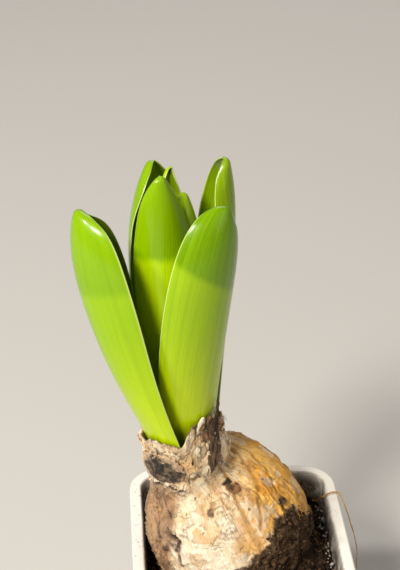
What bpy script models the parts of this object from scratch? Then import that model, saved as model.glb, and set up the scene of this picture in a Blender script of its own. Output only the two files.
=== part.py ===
"""A forced hyacinth in leaf: one bulb half out of the soil of a small square plastic pot.

The origin is the middle of the pot's underside, +Z is up and the front of the pot faces -Y.
Lengths below are millimetres and angles are degrees; MM turns them into metres.
Compass angles are measured in the XY plane from +X towards +Y.
"""

import math

import bmesh
import bpy
from mathutils import Matrix, Vector

MM = 0.001
GAP = 0.3                # air left between two pieces that touch

# Pot: a rounded square that tapers down from a rolled rim.
POT_BASE = 60.0          # outer width at the foot
POT_RIM = 80.0           # outer width of the rim
POT_HEIGHT = 75.0
POT_WALL = 1.5
POT_FLOOR = 2.2
RIM_DEPTH = 8.0          # how far the rim hangs down outside
RIM_BAND = 4.5           # width of the rim's flat top
DRAIN_RADIUS = 3.2
DRAIN_OFFSET = 17.0      # drain holes sit this far from the middle along X and Y

# Soil: level at the back, heaped against the bulb's right side.
SOIL_LEVEL = 67.0
SOIL_HEAP = 8.0
SOIL_SLUMP = 5.0         # how much lower it lies left of the bulb

# Bulb: a near sphere whose axis leans towards -X, with a wide papery neck.
BULB_CENTRE = Vector((-5.0, 1.0, 83.0))
BULB_RADIUS = 30.0
BULB_TILT = 24.0

# Leaves. Each midrib starts in the bulb's neck and is a Bezier curve through hand-set points.
# face: compass angle that the channel opens to, at the foot, the middle and the tip.
# wrap: half of the angle the blade is rolled through, at the foot, at its widest and at the tip.
# half: half of the blade's width, measured round the roll; foot: share of it at the foot.
# widest: where along the midrib the blade is widest; deep: stretches a U-shaped channel.
LEAVES = {
    "leaf_left": {
        "midrib": [(-31.5, -7, 111), (-29, -12.5, 130), (-56, -14, 155), (-64, -10, 204.5), (-58, -5, 214.2)],
        "face": (36, -11, 7), "wrap": (53, 83, 72), "half": 17.9, "foot": 0.72, "widest": 0.65,
        "deep": 1.5, "thick": 1.5,
    },
    "leaf_right": {
        "midrib": [(-19.5, -8.6, 111), (-22, -17, 147), (-12, -25, 202), (-10, -9, 216.4)],
        "face": (92, 132, 125), "wrap": (56, 57, 61), "half": 16.6, "foot": 0.64, "widest": 0.62,
        "deep": 1.0, "thick": 1.5,
    },
    "leaf_centre": {
        "midrib": [(-22.5, -4, 111), (-33, -13, 147), (-25, -12, 194), (-31, -3, 223.5)],
        "face": (68, 75, 124), "wrap": (48, 55, 78), "half": 12.7, "foot": 0.48, "widest": 0.66,
        "deep": 1.0, "thick": 1.5,
    },
    "leaf_back_left": {
        "midrib": [(-25.5, 10.5, 111), (-34, 16, 150), (-43, 17, 199.5), (-34, 19, 219.5)],
        "face": (-52, -50, -32), "wrap": (42, 59, 81), "half": 13.7, "foot": 0.55, "widest": 0.74,
        "deep": 1.0, "thick": 1.5,
    },
    "leaf_back_right": {
        "midrib": [(-12, 9, 111), (-13, 17, 152), (1, 22, 193.5), (-9, 15, 221)],
        "face": (-133, -148, -187), "wrap": (38, 75, 84), "half": 15.6, "foot": 0.42, "widest": 0.69,
        "deep": 1.0, "thick": 1.5,
    },
    "leaf_inner_left": {
        "midrib": [(-21, 7, 111), (-25, 9, 150), (-33, 12, 190), (-28, 13, 220)],
        "face": (-80, -81, -69), "wrap": (50, 60, 75), "half": 6.2, "foot": 0.73, "widest": 0.61,
        "deep": 1.0, "thick": 1.3,
    },
    "leaf_inner_right": {
        "midrib": [(-15.5, 1, 111), (-11, 4, 151), (-12, 8, 191), (-23, 6, 214)],
        "face": (170, 161, 191), "wrap": (48, 53, 75), "half": 7.2, "foot": 0.54, "widest": 0.66,
        "deep": 1.0, "thick": 1.3,
    },
}
LEAF_STEPS = 17          # cross-sections along a leaf
LEAF_SPREAD = 9          # points across a leaf

# Neck of the bulb, outside: height, middle x and y, half widths along X and Y, tilt.
NECK = [
    (107.5, -17.5, 1.0, 17.0, 17.6, 18.0),
    (112.0, -20.2, 0.0, 15.2, 16.6, 9.0),
    (117.5, -21.2, -0.6, 15.3, 17.6, 0.0),
    (124.5, -22.2, -0.9, 16.1, 18.7, 0.0),
]
# The socket inside the neck, from its mouth down: the same columns without the tilt.
SOCKET = [
    (124.5, -22.2, -0.9, 15.3, 17.9),
    (118.0, -21.3, -0.6, 14.4, 16.6),
    (113.0, -20.9, -0.4, 13.8, 15.4),
    (107.2, -20.6, -0.4, 13.4, 14.6),
]
NECK_SLOPE = 0.15        # the mouth rises this much per mm towards the front

# Loose scales round the neck: compass angle, half spread, foot height, tip height.
SCALES = {
    "neck_scale_left": (186.0, 26.0, 113.5, 125.5),
    "neck_scale_front": (248.0, 28.0, 113.5, 126.0),
    "neck_scale_back": (100.0, 34.0, 113.0, 123.5),
}
SCALE_THICKNESS = 0.7

# Flap of old tunic on the bulb's left shoulder: compass angle of its middle and half spread.
FLAP_COMPASS = 208.0
FLAP_SPREAD = 40.0
FLAP_THICKNESS = 1.2
FLAP_ROWS = 6
FLAP_COLUMNS = 9

# Dead root: starts in the soil, crosses the right rim and hangs down outside.
ROOT_ROUTE = [
    (31.0, 25.5, 68.6), (32.6, 22.5, 71.0), (34.8, 19.6, 76.0), (37.5, 20.3, 76.6), (40.0, 20.2, 76.2),
    (41.6, 18.8, 73.6), (43.4, 18.0, 68.6), (46.4, 18.0, 59.6), (49.0, 18.0, 49.6), (49.8, 18.6, 39.0),
]
ROOT_RADIUS = 0.3
ROOT_STEPS = 34


def make_material(name, colour, roughness):
    material = bpy.data.materials.new(name)
    material.use_nodes = True
    shader = material.node_tree.nodes["Principled BSDF"]
    shader.inputs["Base Color"].default_value = (*colour, 1.0)
    shader.inputs["Roughness"].default_value = roughness
    shader.inputs["Metallic"].default_value = 0.0
    return material


def finish_object(name, bm, material, smooth=True):
    """Turns a bmesh in millimetres into a named object in metres, faces outwards."""
    bmesh.ops.triangulate(bm, faces=bm.faces)
    bmesh.ops.recalc_face_normals(bm, faces=bm.faces)
    bmesh.ops.scale(bm, vec=(MM, MM, MM), verts=bm.verts)
    mesh = bpy.data.meshes.new(name)
    bm.to_mesh(mesh)
    bm.free()
    if smooth:
        mesh.shade_smooth()
    mesh.materials.append(material)
    obj = bpy.data.objects.new(name, mesh)
    bpy.context.scene.collection.objects.link(obj)
    return obj


def skin(bm, rings):
    """Joins rings of equal point counts with four-sided faces."""
    loops = [[bm.verts.new(point) for point in ring] for ring in rings]
    count = len(loops[0])
    for lower, upper in zip(loops[:-1], loops[1:]):
        for i in range(count):
            j = (i + 1) % count
            bm.faces.new((lower[i], lower[j], upper[j], upper[i]))
    return loops


def loft(bm, rings):
    """Skins round rings and closes both ends with a fan."""
    loops = skin(bm, rings)
    count = len(loops[0])
    for loop in (loops[0], loops[-1]):
        middle = bm.verts.new(sum((v.co for v in loop), Vector()) / count)
        for i in range(count):
            bm.faces.new((loop[i], loop[(i + 1) % count], middle))


def loft_blade(bm, sections):
    """Skins a thin curved blade from its (outer, inner) rows and closes both ends flat."""
    loops = skin(bm, [outer + inner[::-1] for outer, inner in sections])
    count = len(loops[0])
    for loop in (loops[0], loops[-1]):
        for i in range(count // 2 - 1):
            bm.faces.new((loop[i], loop[i + 1], loop[count - 2 - i], loop[count - 1 - i]))


def rounded_square(half, corner, height, arc_steps=5):
    """Points of a square with round corners, at one height."""
    points = []
    for quarter in range(4):
        turn = math.radians(90 * quarter)
        centre = Matrix.Rotation(turn, 3, "Z") @ Vector((half - corner, half - corner, height))
        for step in range(arc_steps + 1):
            angle = turn + math.radians(90 * step / arc_steps)
            points.append(centre + corner * Vector((math.cos(angle), math.sin(angle), 0)))
    return points


def ellipse_ring(centre, half_x, half_y, tilt, slope=0.0, count=36):
    """An ellipse whose +X side is lifted by tilt and whose front is lifted by slope."""
    lean = Matrix.Rotation(math.radians(-tilt), 3, "Y")
    ring = []
    for i in range(count):
        angle = 2 * math.pi * i / count
        point = lean @ Vector((half_x * math.cos(angle), half_y * math.sin(angle), 0))
        point.z -= slope * point.y
        ring.append(Vector(centre) + point)
    return ring


def inner_half(height):
    """Half width of the pot's inside at a height."""
    share = (height - POT_FLOOR) / (POT_HEIGHT - POT_FLOOR)
    low = POT_BASE / 2 - POT_WALL
    high = POT_RIM / 2 - RIM_BAND
    return low + (high - low) * share


def make_pot(material):
    rim = POT_RIM / 2
    foot = POT_BASE / 2
    mouth = rim - RIM_BAND
    wall_top = inner_half(POT_HEIGHT - RIM_DEPTH) + POT_WALL
    outline = [
        (foot - 1.0, 8.2, 0.0), (foot, 9.0, 1.2),
        (wall_top, 10.8, POT_HEIGHT - RIM_DEPTH), (rim - 0.6, 12.2, POT_HEIGHT - RIM_DEPTH),
        (rim, 12.6, POT_HEIGHT - RIM_DEPTH + 0.8), (rim, 12.6, POT_HEIGHT - 1.4),
        (rim - 0.5, 12.3, POT_HEIGHT - 0.4), (rim - 1.6, 11.8, POT_HEIGHT),
        (mouth + 1.2, 10.4, POT_HEIGHT), (mouth + 0.3, 9.8, POT_HEIGHT - 0.4),
        (mouth, 9.6, POT_HEIGHT - 1.4), (inner_half(POT_FLOOR), 7.6, POT_FLOOR),
    ]
    bm = bmesh.new()
    loft(bm, [rounded_square(*row) for row in outline])
    pot = finish_object("pot", bm, material)
    pot.data.set_sharp_from_angle(angle=math.radians(40))
    for x, y in ((1, 1), (-1, 1), (-1, -1), (1, -1)):
        bpy.ops.mesh.primitive_cylinder_add(
            vertices=16, radius=DRAIN_RADIUS * MM, depth=3 * POT_FLOOR * MM,
            location=(x * DRAIN_OFFSET * MM, y * DRAIN_OFFSET * MM, 0),
        )
        cutter = bpy.context.object
        cutter.name = "drain_cutter"
        cutter.hide_render = True
        cutter.display_type = "WIRE"
        drain = pot.modifiers.new("drain", "BOOLEAN")
        drain.operation = "DIFFERENCE"
        drain.solver = "EXACT"
        drain.object = cutter
    return pot


def bulb_body_rings(grow=0.0):
    """Rings of the round body from the basal plate up, along the leaning axis."""
    axis = Matrix.Rotation(math.radians(-BULB_TILT), 3, "Y") @ Vector((0, 0, 1))
    radius = BULB_RADIUS + grow
    rings = []
    for height in (-28.6, -26.2, -21.5, -15, -7.5, 0, 7.5, 14.5, 20):
        along = height - grow if height < -25 else height
        width = math.sqrt(max(radius ** 2 - along ** 2, 1.0))
        centre = BULB_CENTRE + axis * along
        rings.append(ellipse_ring(centre, width, width, BULB_TILT))
    return rings


def make_bulb(material):
    rings = bulb_body_rings()
    for height, x, y, half_x, half_y, tilt in NECK:
        slope = NECK_SLOPE if height > 120 else 0.0
        rings.append(ellipse_ring((x, y, height), half_x, half_y, tilt, slope))
    for height, x, y, half_x, half_y in SOCKET:
        slope = NECK_SLOPE if height > 120 else 0.0
        rings.append(ellipse_ring((x, y, height), half_x, half_y, 0, slope))
    bm = bmesh.new()
    loft(bm, rings)
    return finish_object("bulb", bm, material)


def soil_height(x, y):
    """Level soil, heaped where it meets the bulb's right and front, slumped on its left."""
    away = Vector((x - BULB_CENTRE.x, y - BULB_CENTRE.y))
    distance = away.length
    angle = math.degrees(math.atan2(away.y, away.x))
    side = math.exp(-((angle + 35) / 55) ** 2)
    heap = SOIL_HEAP * side * math.exp(-((distance - 27) / 7) ** 2)
    slump = SOIL_SLUMP * min(max((-22 - x) / 10, 0), 1)
    ripple = 0.8 * math.sin(0.31 * x + 1.1) * math.sin(0.27 * y + 0.4)
    return SOIL_LEVEL + heap - slump + ripple


def make_soil(material):
    low = POT_FLOOR + GAP
    bottom = rounded_square(inner_half(low) - 1.5 * GAP, 7.2, low)
    rings = [bottom]
    for share in (1.0, 0.93, 0.84, 0.74, 0.62, 0.48, 0.3):
        ring = []
        for point in rounded_square(inner_half(SOIL_LEVEL - SOIL_SLUMP) - 1.5 * GAP, 9.0, 0):
            x = point.x * share
            y = point.y * share
            ring.append(Vector((x, y, soil_height(x, y))))
        rings.append(ring)
    bm = bmesh.new()
    loft(bm, rings)
    soil = finish_object("soil", bm, material)

    bm = bmesh.new()
    loft(bm, bulb_body_rings(grow=GAP + 0.15))
    bed = finish_object("bulb_bed_cutter", bm, material)
    bed.hide_render = True
    bed.display_type = "WIRE"
    hollow = soil.modifiers.new("bulb bed", "BOOLEAN")
    hollow.operation = "DIFFERENCE"
    hollow.solver = "EXACT"
    hollow.object = bed
    return soil


def bezier(points, t):
    """A point of the Bezier curve through de Casteljau's steps."""
    row = [Vector(point) for point in points]
    while len(row) > 1:
        row = [a.lerp(b, t) for a, b in zip(row[:-1], row[1:])]
    return row[0]


def smooth_step(x):
    x = min(max(x, 0.0), 1.0)
    return x * x * (3 - 2 * x)


def leaf_section(leaf, t, spread):
    """Outer and inner points of the rolled blade at one place along the midrib."""
    middle = bezier(leaf["midrib"], t)
    step = 0.001
    along = bezier(leaf["midrib"], min(t + step, 1)) - bezier(leaf["midrib"], max(t - step, 0))
    along.normalize()
    foot, mid, tip = leaf["face"]
    face = math.radians(foot * (1 - t) ** 2 + 2 * mid * t * (1 - t) + tip * t ** 2)
    inward = Vector((math.cos(face), math.sin(face), 0))
    inward -= inward.dot(along) * along
    inward.normalize()
    across = along.cross(inward)

    widest = leaf["widest"]
    foot_wrap, mid_wrap, tip_wrap = leaf["wrap"]
    if t < widest:
        rise = smooth_step(t / widest)
        width = leaf["foot"] + (1 - leaf["foot"]) * rise
        wrap = foot_wrap + (mid_wrap - foot_wrap) * rise
        deep = 1 + (leaf["deep"] - 1) * rise
    else:
        past = (t - widest) / (1 - widest)
        width = max((1 - (0.975 * past) ** 2.3) ** 0.62, 0.03)
        wrap = mid_wrap + (tip_wrap - mid_wrap) * smooth_step(past)
        deep = leaf["deep"]
    wrap = math.radians(wrap)
    radius = leaf["half"] * width / wrap

    outer = []
    inner = []
    for i in range(spread):
        s = 2 * i / (spread - 1) - 1
        angle = s * wrap
        point = middle + deep * radius * (1 - math.cos(angle)) * inward
        point += radius * math.sin(angle) * across
        normal = (math.cos(angle) * inward - deep * math.sin(angle) * across).normalized()
        thick = min(leaf["thick"] * (1 - 0.6 * s * s), 0.55 * radius)
        outer.append(point)
        inner.append(point + thick * normal)
    return outer, inner


def make_leaf(name, leaf, material):
    sections = []
    for i in range(LEAF_STEPS):
        t = math.sin(math.pi / 2 * i / (LEAF_STEPS - 1))
        sections.append(leaf_section(leaf, t, LEAF_SPREAD))
    bm = bmesh.new()
    loft_blade(bm, sections)
    return finish_object(name, bm, material)


def neck_radius(height, angle):
    """Middle and half widths of the neck's outside at a height, and its radius there."""
    rows = NECK[1:]
    share = (height - rows[0][0]) / (rows[-1][0] - rows[0][0]) * (len(rows) - 1)
    index = min(max(int(share), 0), len(rows) - 2)
    low, high = rows[index], rows[index + 1]
    blend = (height - low[0]) / (high[0] - low[0])
    x, y, half_x, half_y = (low[k] + (high[k] - low[k]) * blend for k in (1, 2, 3, 4))
    reach = 1 / math.hypot(math.cos(angle) / half_x, math.sin(angle) / half_y)
    return Vector((x, y, height)), reach


def make_scale(name, scale, material, steps=5, spread=7):
    """A curved papery flake that hugs the neck and narrows to its tip."""
    compass, half_spread, foot, tip = scale
    sections = []
    for i in range(steps):
        rise = i / (steps - 1)
        height = foot + (tip - foot) * rise
        narrow = half_spread * (1 - 0.65 * rise ** 1.6)
        outer = []
        inner = []
        for k in range(spread):
            side = 2 * k / (spread - 1) - 1
            angle = math.radians(compass + narrow * side)
            middle, reach = neck_radius(height, angle)
            lift = 1.0 + 0.5 * rise
            way = Vector((math.cos(angle), math.sin(angle), 0))
            inner.append(middle + way * (reach + lift))
            outer.append(middle + way * (reach + lift + SCALE_THICKNESS * (1 - 0.5 * side * side)))
        sections.append((outer, inner))
    bm = bmesh.new()
    loft_blade(bm, sections)
    return finish_object(name, bm, material)


def shoulder_point(place, compass, lift):
    """A point above the left shoulder: place runs from the body's top ring (0) up the neck's foot (2)."""
    rings = [bulb_body_rings()[-1]]
    for height, x, y, half_x, half_y, tilt in NECK[:2]:
        rings.append(ellipse_ring((x, y, height), half_x, half_y, tilt))
    count = len(rings[0])
    spot = compass / 360 * count
    column = int(spot)
    around = [ring[column].lerp(ring[(column + 1) % count], spot - column) for ring in rings]
    row = min(int(place), len(rings) - 2)
    point = around[row].lerp(around[row + 1], place - row)
    middle = sum(rings[row], Vector()) / count
    return point + lift * (point - middle).normalized()


def make_shoulder_flap(material):
    """A thick flake that stands off the bulb's left shoulder; its upper edge curls out."""
    sections = []
    for i in range(FLAP_ROWS):
        rise = i / (FLAP_ROWS - 1)
        outer = []
        inner = []
        for k in range(FLAP_COLUMNS):
            side = 2 * k / (FLAP_COLUMNS - 1) - 1
            place = 0.1 + 1.6 * rise * (1 - 0.3 * side * side)
            compass = FLAP_COMPASS + FLAP_SPREAD * side
            lift = 1.0 + 1.2 * rise
            inner.append(shoulder_point(place, compass, lift))
            outer.append(shoulder_point(place, compass, lift + FLAP_THICKNESS * (1 - 0.5 * side * side)))
        sections.append((outer, inner))
    bm = bmesh.new()
    loft_blade(bm, sections)
    return finish_object("shoulder_flap", bm, material)


def make_strip(name, material, points, widths, thickness):
    """A flat strip through points; each width is set across the neck's surface."""
    rings = []
    for point, width in zip(points, widths):
        point = Vector(point)
        out = Vector((point.x + 21.5, point.y + 1.1, 0)).normalized()
        across = Vector((-out.y, out.x, 0))
        rings.append([
            point - across * width / 2, point - out * thickness / 2,
            point + across * width / 2, point + out * thickness / 2,
        ])
    bm = bmesh.new()
    loft(bm, rings)
    return finish_object(name, bm, material)


def make_root(material):
    """A thin round fibre along a smooth curve through the route's points."""
    points = [Vector(point) for point in ROOT_ROUTE]
    points = [2 * points[0] - points[1], *points, 2 * points[-1] - points[-2]]
    curve = bpy.data.curves.new("dry_root", "CURVE")
    curve.dimensions = "3D"
    curve.bevel_depth = ROOT_RADIUS * MM
    curve.bevel_resolution = 1
    curve.use_fill_caps = True
    spline = curve.splines.new("POLY")
    spline.points.add(ROOT_STEPS - 1)
    spans = len(points) - 3
    for i in range(ROOT_STEPS):
        place = spans * i / (ROOT_STEPS - 1)
        k = min(int(place), spans - 1)
        t = place - k
        p0, p1, p2, p3 = points[k:k + 4]
        spot = 0.5 * (
            2 * p1 + (p2 - p0) * t + (2 * p0 - 5 * p1 + 4 * p2 - p3) * t ** 2
            + (3 * p1 - p0 - 3 * p2 + p3) * t ** 3
        )
        spline.points[i].co = (*(spot * MM), 1.0)
    curve.materials.append(material)
    root = bpy.data.objects.new("dry_root", curve)
    bpy.context.scene.collection.objects.link(root)
    return root


def main():
    for obj in list(bpy.data.objects):
        bpy.data.objects.remove(obj)

    make_pot(make_material("white plastic", (0.80, 0.78, 0.74), 0.45))
    make_soil(make_material("potting soil", (0.045, 0.028, 0.018), 0.95))
    make_bulb(make_material("bulb tunic", (0.72, 0.47, 0.22), 0.60))

    leaf_green = make_material("leaf", (0.30, 0.52, 0.02), 0.35)
    for name, leaf in LEAVES.items():
        make_leaf(name, leaf, leaf_green)

    papery = make_material("dry scale", (0.68, 0.45, 0.25), 0.80)
    for name, scale in SCALES.items():
        make_scale(name, scale, papery)
    make_shoulder_flap(make_material("old tunic", (0.16, 0.11, 0.07), 0.90))
    make_strip(
        "dried_tunic_strip", make_material("brown fibre", (0.10, 0.05, 0.02), 0.85),
        [(-12.6, -16.8, 116), (-11.0, -16.1, 120), (-9.9, -15.8, 126), (-9.7, -15.3, 132), (-9.4, -15.2, 141)],
        [3.0, 5.0, 5.4, 2.6, 0.6], 0.9,
    )
    make_strip(
        "pale_scale_tip", make_material("pale scale", (0.85, 0.78, 0.60), 0.70),
        [(-17.0, -19.8, 126), (-16.8, -20.2, 131), (-16.6, -20.4, 136), (-16.4, -20.6, 140)],
        [3.4, 4.2, 3.2, 0.6], 0.7,
    )
    make_root(make_material("dry root", (0.55, 0.30, 0.08), 0.60))


main()
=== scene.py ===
import math
import bpy
import numpy as np
from mathutils import Matrix, Vector


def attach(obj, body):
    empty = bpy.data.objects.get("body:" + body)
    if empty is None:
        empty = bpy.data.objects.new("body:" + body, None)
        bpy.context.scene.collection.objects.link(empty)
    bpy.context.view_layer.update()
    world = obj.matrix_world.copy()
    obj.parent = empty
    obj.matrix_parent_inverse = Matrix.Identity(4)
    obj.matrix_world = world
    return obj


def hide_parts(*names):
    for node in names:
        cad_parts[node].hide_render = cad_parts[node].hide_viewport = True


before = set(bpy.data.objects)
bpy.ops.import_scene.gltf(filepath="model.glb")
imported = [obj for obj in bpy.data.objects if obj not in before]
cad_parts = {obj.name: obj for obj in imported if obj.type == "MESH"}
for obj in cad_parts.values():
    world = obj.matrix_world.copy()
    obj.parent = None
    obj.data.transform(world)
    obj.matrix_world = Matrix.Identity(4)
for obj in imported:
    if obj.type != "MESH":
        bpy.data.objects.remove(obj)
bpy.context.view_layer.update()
print("frame loaded:", len(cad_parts), "CAD nodes")

mm = 0.001                     # lengths in the dictionaries are millimetres


def deselectAll():
    if bpy.context.object and bpy.context.object.mode != "OBJECT":
        bpy.ops.object.mode_set(mode="OBJECT")
    bpy.ops.object.select_all(action="DESELECT")


deselectAll()


# small maths used by every piece

def bell(x, width):
    return np.exp(-(x / width) ** 2)


def smoothStep(low, high, x):
    t = np.clip((x - low) / (high - low), 0.0, 1.0)
    return t * t * (3 - 2 * t)


def xyz(a, b, c):
    # three columns, or one number where a column is the same all over
    return np.stack(np.broadcast_arrays(a, b, c), 1)


def turned(x, y, degrees):
    c = math.cos(math.radians(degrees))
    s = math.sin(math.radians(degrees))
    return x * c - y * s, x * s + y * c


def onCircle(degrees, third=0.0):
    return xyz(np.cos(np.radians(degrees)), np.sin(np.radians(degrees)), third)


def between(a, b, share):
    return a + (b - a) * share


def lattice(cell, seed):
    mixed = cell[:, 0] * 374761393 + cell[:, 1] * 668265263 + cell[:, 2] * 1440662683 + seed * 69069
    mixed = mixed & 0xFFFFFFFF
    mixed = ((mixed ^ (mixed >> 13)) * 1274126177) & 0xFFFFFFFF
    mixed = mixed ^ (mixed >> 16)
    return mixed / 2147483648.0 - 1.0


def noise(points, seed=0):
    # smooth value noise from -1 to 1, one value for each row of points
    points = np.asarray(points, float)
    cell = np.floor(points).astype(np.int64)
    part = points - cell
    part = part * part * (3 - 2 * part)
    total = np.zeros(len(points))
    for dx in (0, 1):
        wx = part[:, 0] if dx else 1 - part[:, 0]
        for dy in (0, 1):
            wy = part[:, 1] if dy else 1 - part[:, 1]
            for dz in (0, 1):
                wz = part[:, 2] if dz else 1 - part[:, 2]
                total += wx * wy * wz * lattice(cell + np.array((dx, dy, dz)), seed)
    return total


def fractal(points, octaves=4, seed=0, gain=0.5):
    total = np.zeros(len(points))
    size = 1.0
    strength = 1.0
    for octave in range(octaves):
        total += strength * noise(points * size, seed + 17 * octave)
        size *= 2.03
        strength *= gain
    return total / (2 - 2 * gain ** octaves) * 1.4


def splineRows(rows, stations, at):
    # smooth curve through rows of numbers at uneven stations
    rows = np.asarray(rows, float)
    stations = np.asarray(stations, float)
    slopes = np.gradient(rows, stations, axis=0)
    k = np.clip(np.searchsorted(stations, at) - 1, 0, len(stations) - 2)
    span = stations[k + 1] - stations[k]
    t = ((at - stations[k]) / span)[:, None]
    span = span[:, None]
    return (rows[k] * (2 * t ** 3 - 3 * t ** 2 + 1) + slopes[k] * span * (t ** 3 - 2 * t ** 2 + t)
            + rows[k + 1] * (3 * t ** 2 - 2 * t ** 3) + slopes[k + 1] * span * (t ** 3 - t ** 2))


def compassOf(x, y):
    return np.degrees(np.arctan2(y, x))


def turnTo(a, b):
    # signed difference of two compass angles
    return (a - b + 180) % 360 - 180


# mesh helpers

def nameIt(piece, name):
    piece.name = name
    piece.data.name = name
    return piece


def linkNew(name, data):
    piece = bpy.data.objects.new(name, data)
    bpy.context.scene.collection.objects.link(piece)
    return piece


def addModifier(piece, name, kind, **settings):
    modifier = piece.modifiers.new(name, kind)
    for setting, value in settings.items():
        setattr(modifier, setting, value)
    return modifier


def gridPiece(name, across, along, shape, uvOf=None):
    deselectAll()
    bpy.ops.mesh.primitive_grid_add(x_subdivisions=across, y_subdivisions=along, size=1.0, location=(0, 0, 0))
    piece = nameIt(bpy.context.object, name)
    mesh = piece.data
    flat = np.empty(len(mesh.vertices) * 3)
    mesh.vertices.foreach_get("co", flat)
    flat = flat.reshape(-1, 3)
    u = flat[:, 0] + 0.5
    v = flat[:, 1] + 0.5
    points = shape(u, v)
    mesh.vertices.foreach_set("co", (points * mm).astype(np.float32).ravel())
    if uvOf:
        corner = np.empty(len(mesh.loops), np.int32)
        mesh.loops.foreach_get("vertex_index", corner)
        pair = np.stack(uvOf(u, v), 1)[corner]
        mesh.uv_layers[0].data.foreach_set("uv", pair.astype(np.float32).ravel())
    mesh.update()
    return piece, u, v


def paintAttribute(piece, name, values):
    layer = piece.data.attributes.new(name, "FLOAT", "POINT")
    layer.data.foreach_set("value", np.asarray(values, np.float32))


def activate(piece):
    deselectAll()
    piece.select_set(True)
    bpy.context.view_layer.objects.active = piece


def seal(piece, distance=0.002):
    activate(piece)
    bpy.ops.object.mode_set(mode="EDIT")
    bpy.ops.mesh.select_all(action="SELECT")
    bpy.ops.mesh.remove_doubles(threshold=distance * mm)
    bpy.ops.mesh.dissolve_degenerate(threshold=distance * mm * 0.5)
    bpy.ops.mesh.normals_make_consistent(inside=False)
    bpy.ops.object.mode_set(mode="OBJECT")


def shareWall(piece, shares):
    # how much of the wall's thickness each point of a sheet gets
    group = piece.vertex_groups.new(name="wall share")
    for index, share in enumerate(shares):
        group.add([index], float(share), "REPLACE")


def sealSheet(piece):
    # merges the closed tips of a sheet and keeps its outer side outwards
    middle = piece.data.polygons[len(piece.data.polygons) // 2]
    place = middle.center.copy()
    side = middle.normal.copy()
    seal(piece)
    nearest = min(piece.data.polygons, key=lambda polygon: (polygon.center - place).length)
    if nearest.normal.dot(side) < 0:
        bpy.ops.object.mode_set(mode="EDIT")
        bpy.ops.mesh.select_all(action="SELECT")
        bpy.ops.mesh.flip_normals()
        bpy.ops.object.mode_set(mode="OBJECT")


def applyAll(piece):
    activate(piece)
    for modifier in list(piece.modifiers):
        bpy.ops.object.modifier_apply(modifier=modifier.name)


def thicken(piece, thickness):
    # gives a sheet its wall, thinner where its shares say so, marks the inner face and rounds it
    count = len(piece.data.vertices)
    solid = addModifier(piece, "wall", "SOLIDIFY", thickness=thickness * mm, offset=-1.0)
    if "wall share" in piece.vertex_groups:
        solid.vertex_group = "wall share"
    before = np.array([vertex.co for vertex in piece.data.vertices])
    applyAll(piece)
    after = np.array([vertex.co for vertex in piece.data.vertices])
    firstStays = np.abs(after[:count] - before).max() < 1e-6
    inner = np.arange(len(after)) >= count
    paintAttribute(piece, "innerFace", inner if firstStays else ~inner)
    addModifier(piece, "rounded", "SUBSURF", levels=1, render_levels=1)
    applyAll(piece)


def joinPieces(name, parts):
    deselectAll()
    for part in parts:
        part.select_set(True)
    bpy.context.view_layer.objects.active = parts[0]
    bpy.ops.object.join()
    return nameIt(bpy.context.object, name)


def finishPiece(piece, nodes=(), smooth=True):
    activate(piece)
    if smooth:
        bpy.ops.object.shade_smooth()
    piece.data.materials.clear()
    piece.data.materials.append(work["material"])
    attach(piece, "root")
    if nodes:
        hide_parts(*nodes)
    print("piece", piece.name, len(piece.data.polygons), "faces")


# node helpers: they build in work["tree"], and feed leads into its shader or group output

work = {}


def opaque(value):
    return (*value, 1.0) if isinstance(value, tuple) and len(value) == 3 else value


def setSocket(socket, value):
    if isinstance(value, bpy.types.NodeSocket):
        work["tree"].links.new(value, socket)
    else:
        socket.default_value = opaque(value) if socket.type == "RGBA" else value


def put(kind, feeds=None, **settings):
    made = work["tree"].nodes.new(kind)
    for name, value in settings.items():
        setattr(made, name, value)
    for socket, value in (feeds or {}).items():
        setSocket(made.inputs[socket], value)
    return made


def feed(socket, value):
    setSocket(work["end"].inputs[socket], value)


def calc(operation, a, b=0.0, c=0.0, clamp=False):
    return put("ShaderNodeMath", {0: a, 1: b, 2: c}, operation=operation, use_clamp=clamp).outputs[0]


def times(a, b, clamp=False):
    return calc("MULTIPLY", a, b, clamp=clamp)


def plus(a, b):
    return calc("ADD", a, b)


def minus(a, b, clamp=False):
    return calc("SUBTRACT", a, b, clamp=clamp)


def stepMask(value, low, high):
    return put("ShaderNodeMapRange", {"Value": value, "From Min": low, "From Max": high},
               interpolation_type="SMOOTHSTEP").outputs["Result"]


def blend(share, a, b):
    return put("ShaderNodeMix", {0: share, 6: a, 7: b}, data_type="RGBA").outputs[2]


def layer(body, mask, tone, share=None):
    # lays a tone over the body colour where the mask is on, held back by share
    return blend(mask if share is None else times(mask, share), body, tone)


def objectPlace():
    return put("ShaderNodeTexCoord").outputs["Object"]


def noiseOf(vector, scale, detail=4.0, roughness=0.55, distortion=0.0, output=0):
    return put("ShaderNodeTexNoise", {"Vector": vector, "Scale": scale, "Detail": detail,
               "Roughness": roughness, "Distortion": distortion}).outputs[output]


def grainOf(*settings):
    return noiseOf(objectPlace(), *settings)


def stretched(vector, scale):
    return put("ShaderNodeMapping", {"Vector": vector, "Scale": scale}).outputs[0]


def warped(vector, scale, detail, size):
    push = put("ShaderNodeTexNoise", {"Vector": vector, "Scale": scale, "Detail": detail}).outputs["Color"]
    return put("ShaderNodeVectorMath", {0: push, 1: (size, size, size), 2: vector},
               operation="MULTIPLY_ADD").outputs[0]


def attributeOf(name, output="Fac"):
    return put("ShaderNodeAttribute", attribute_name=name, attribute_type="GEOMETRY").outputs[output]


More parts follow.
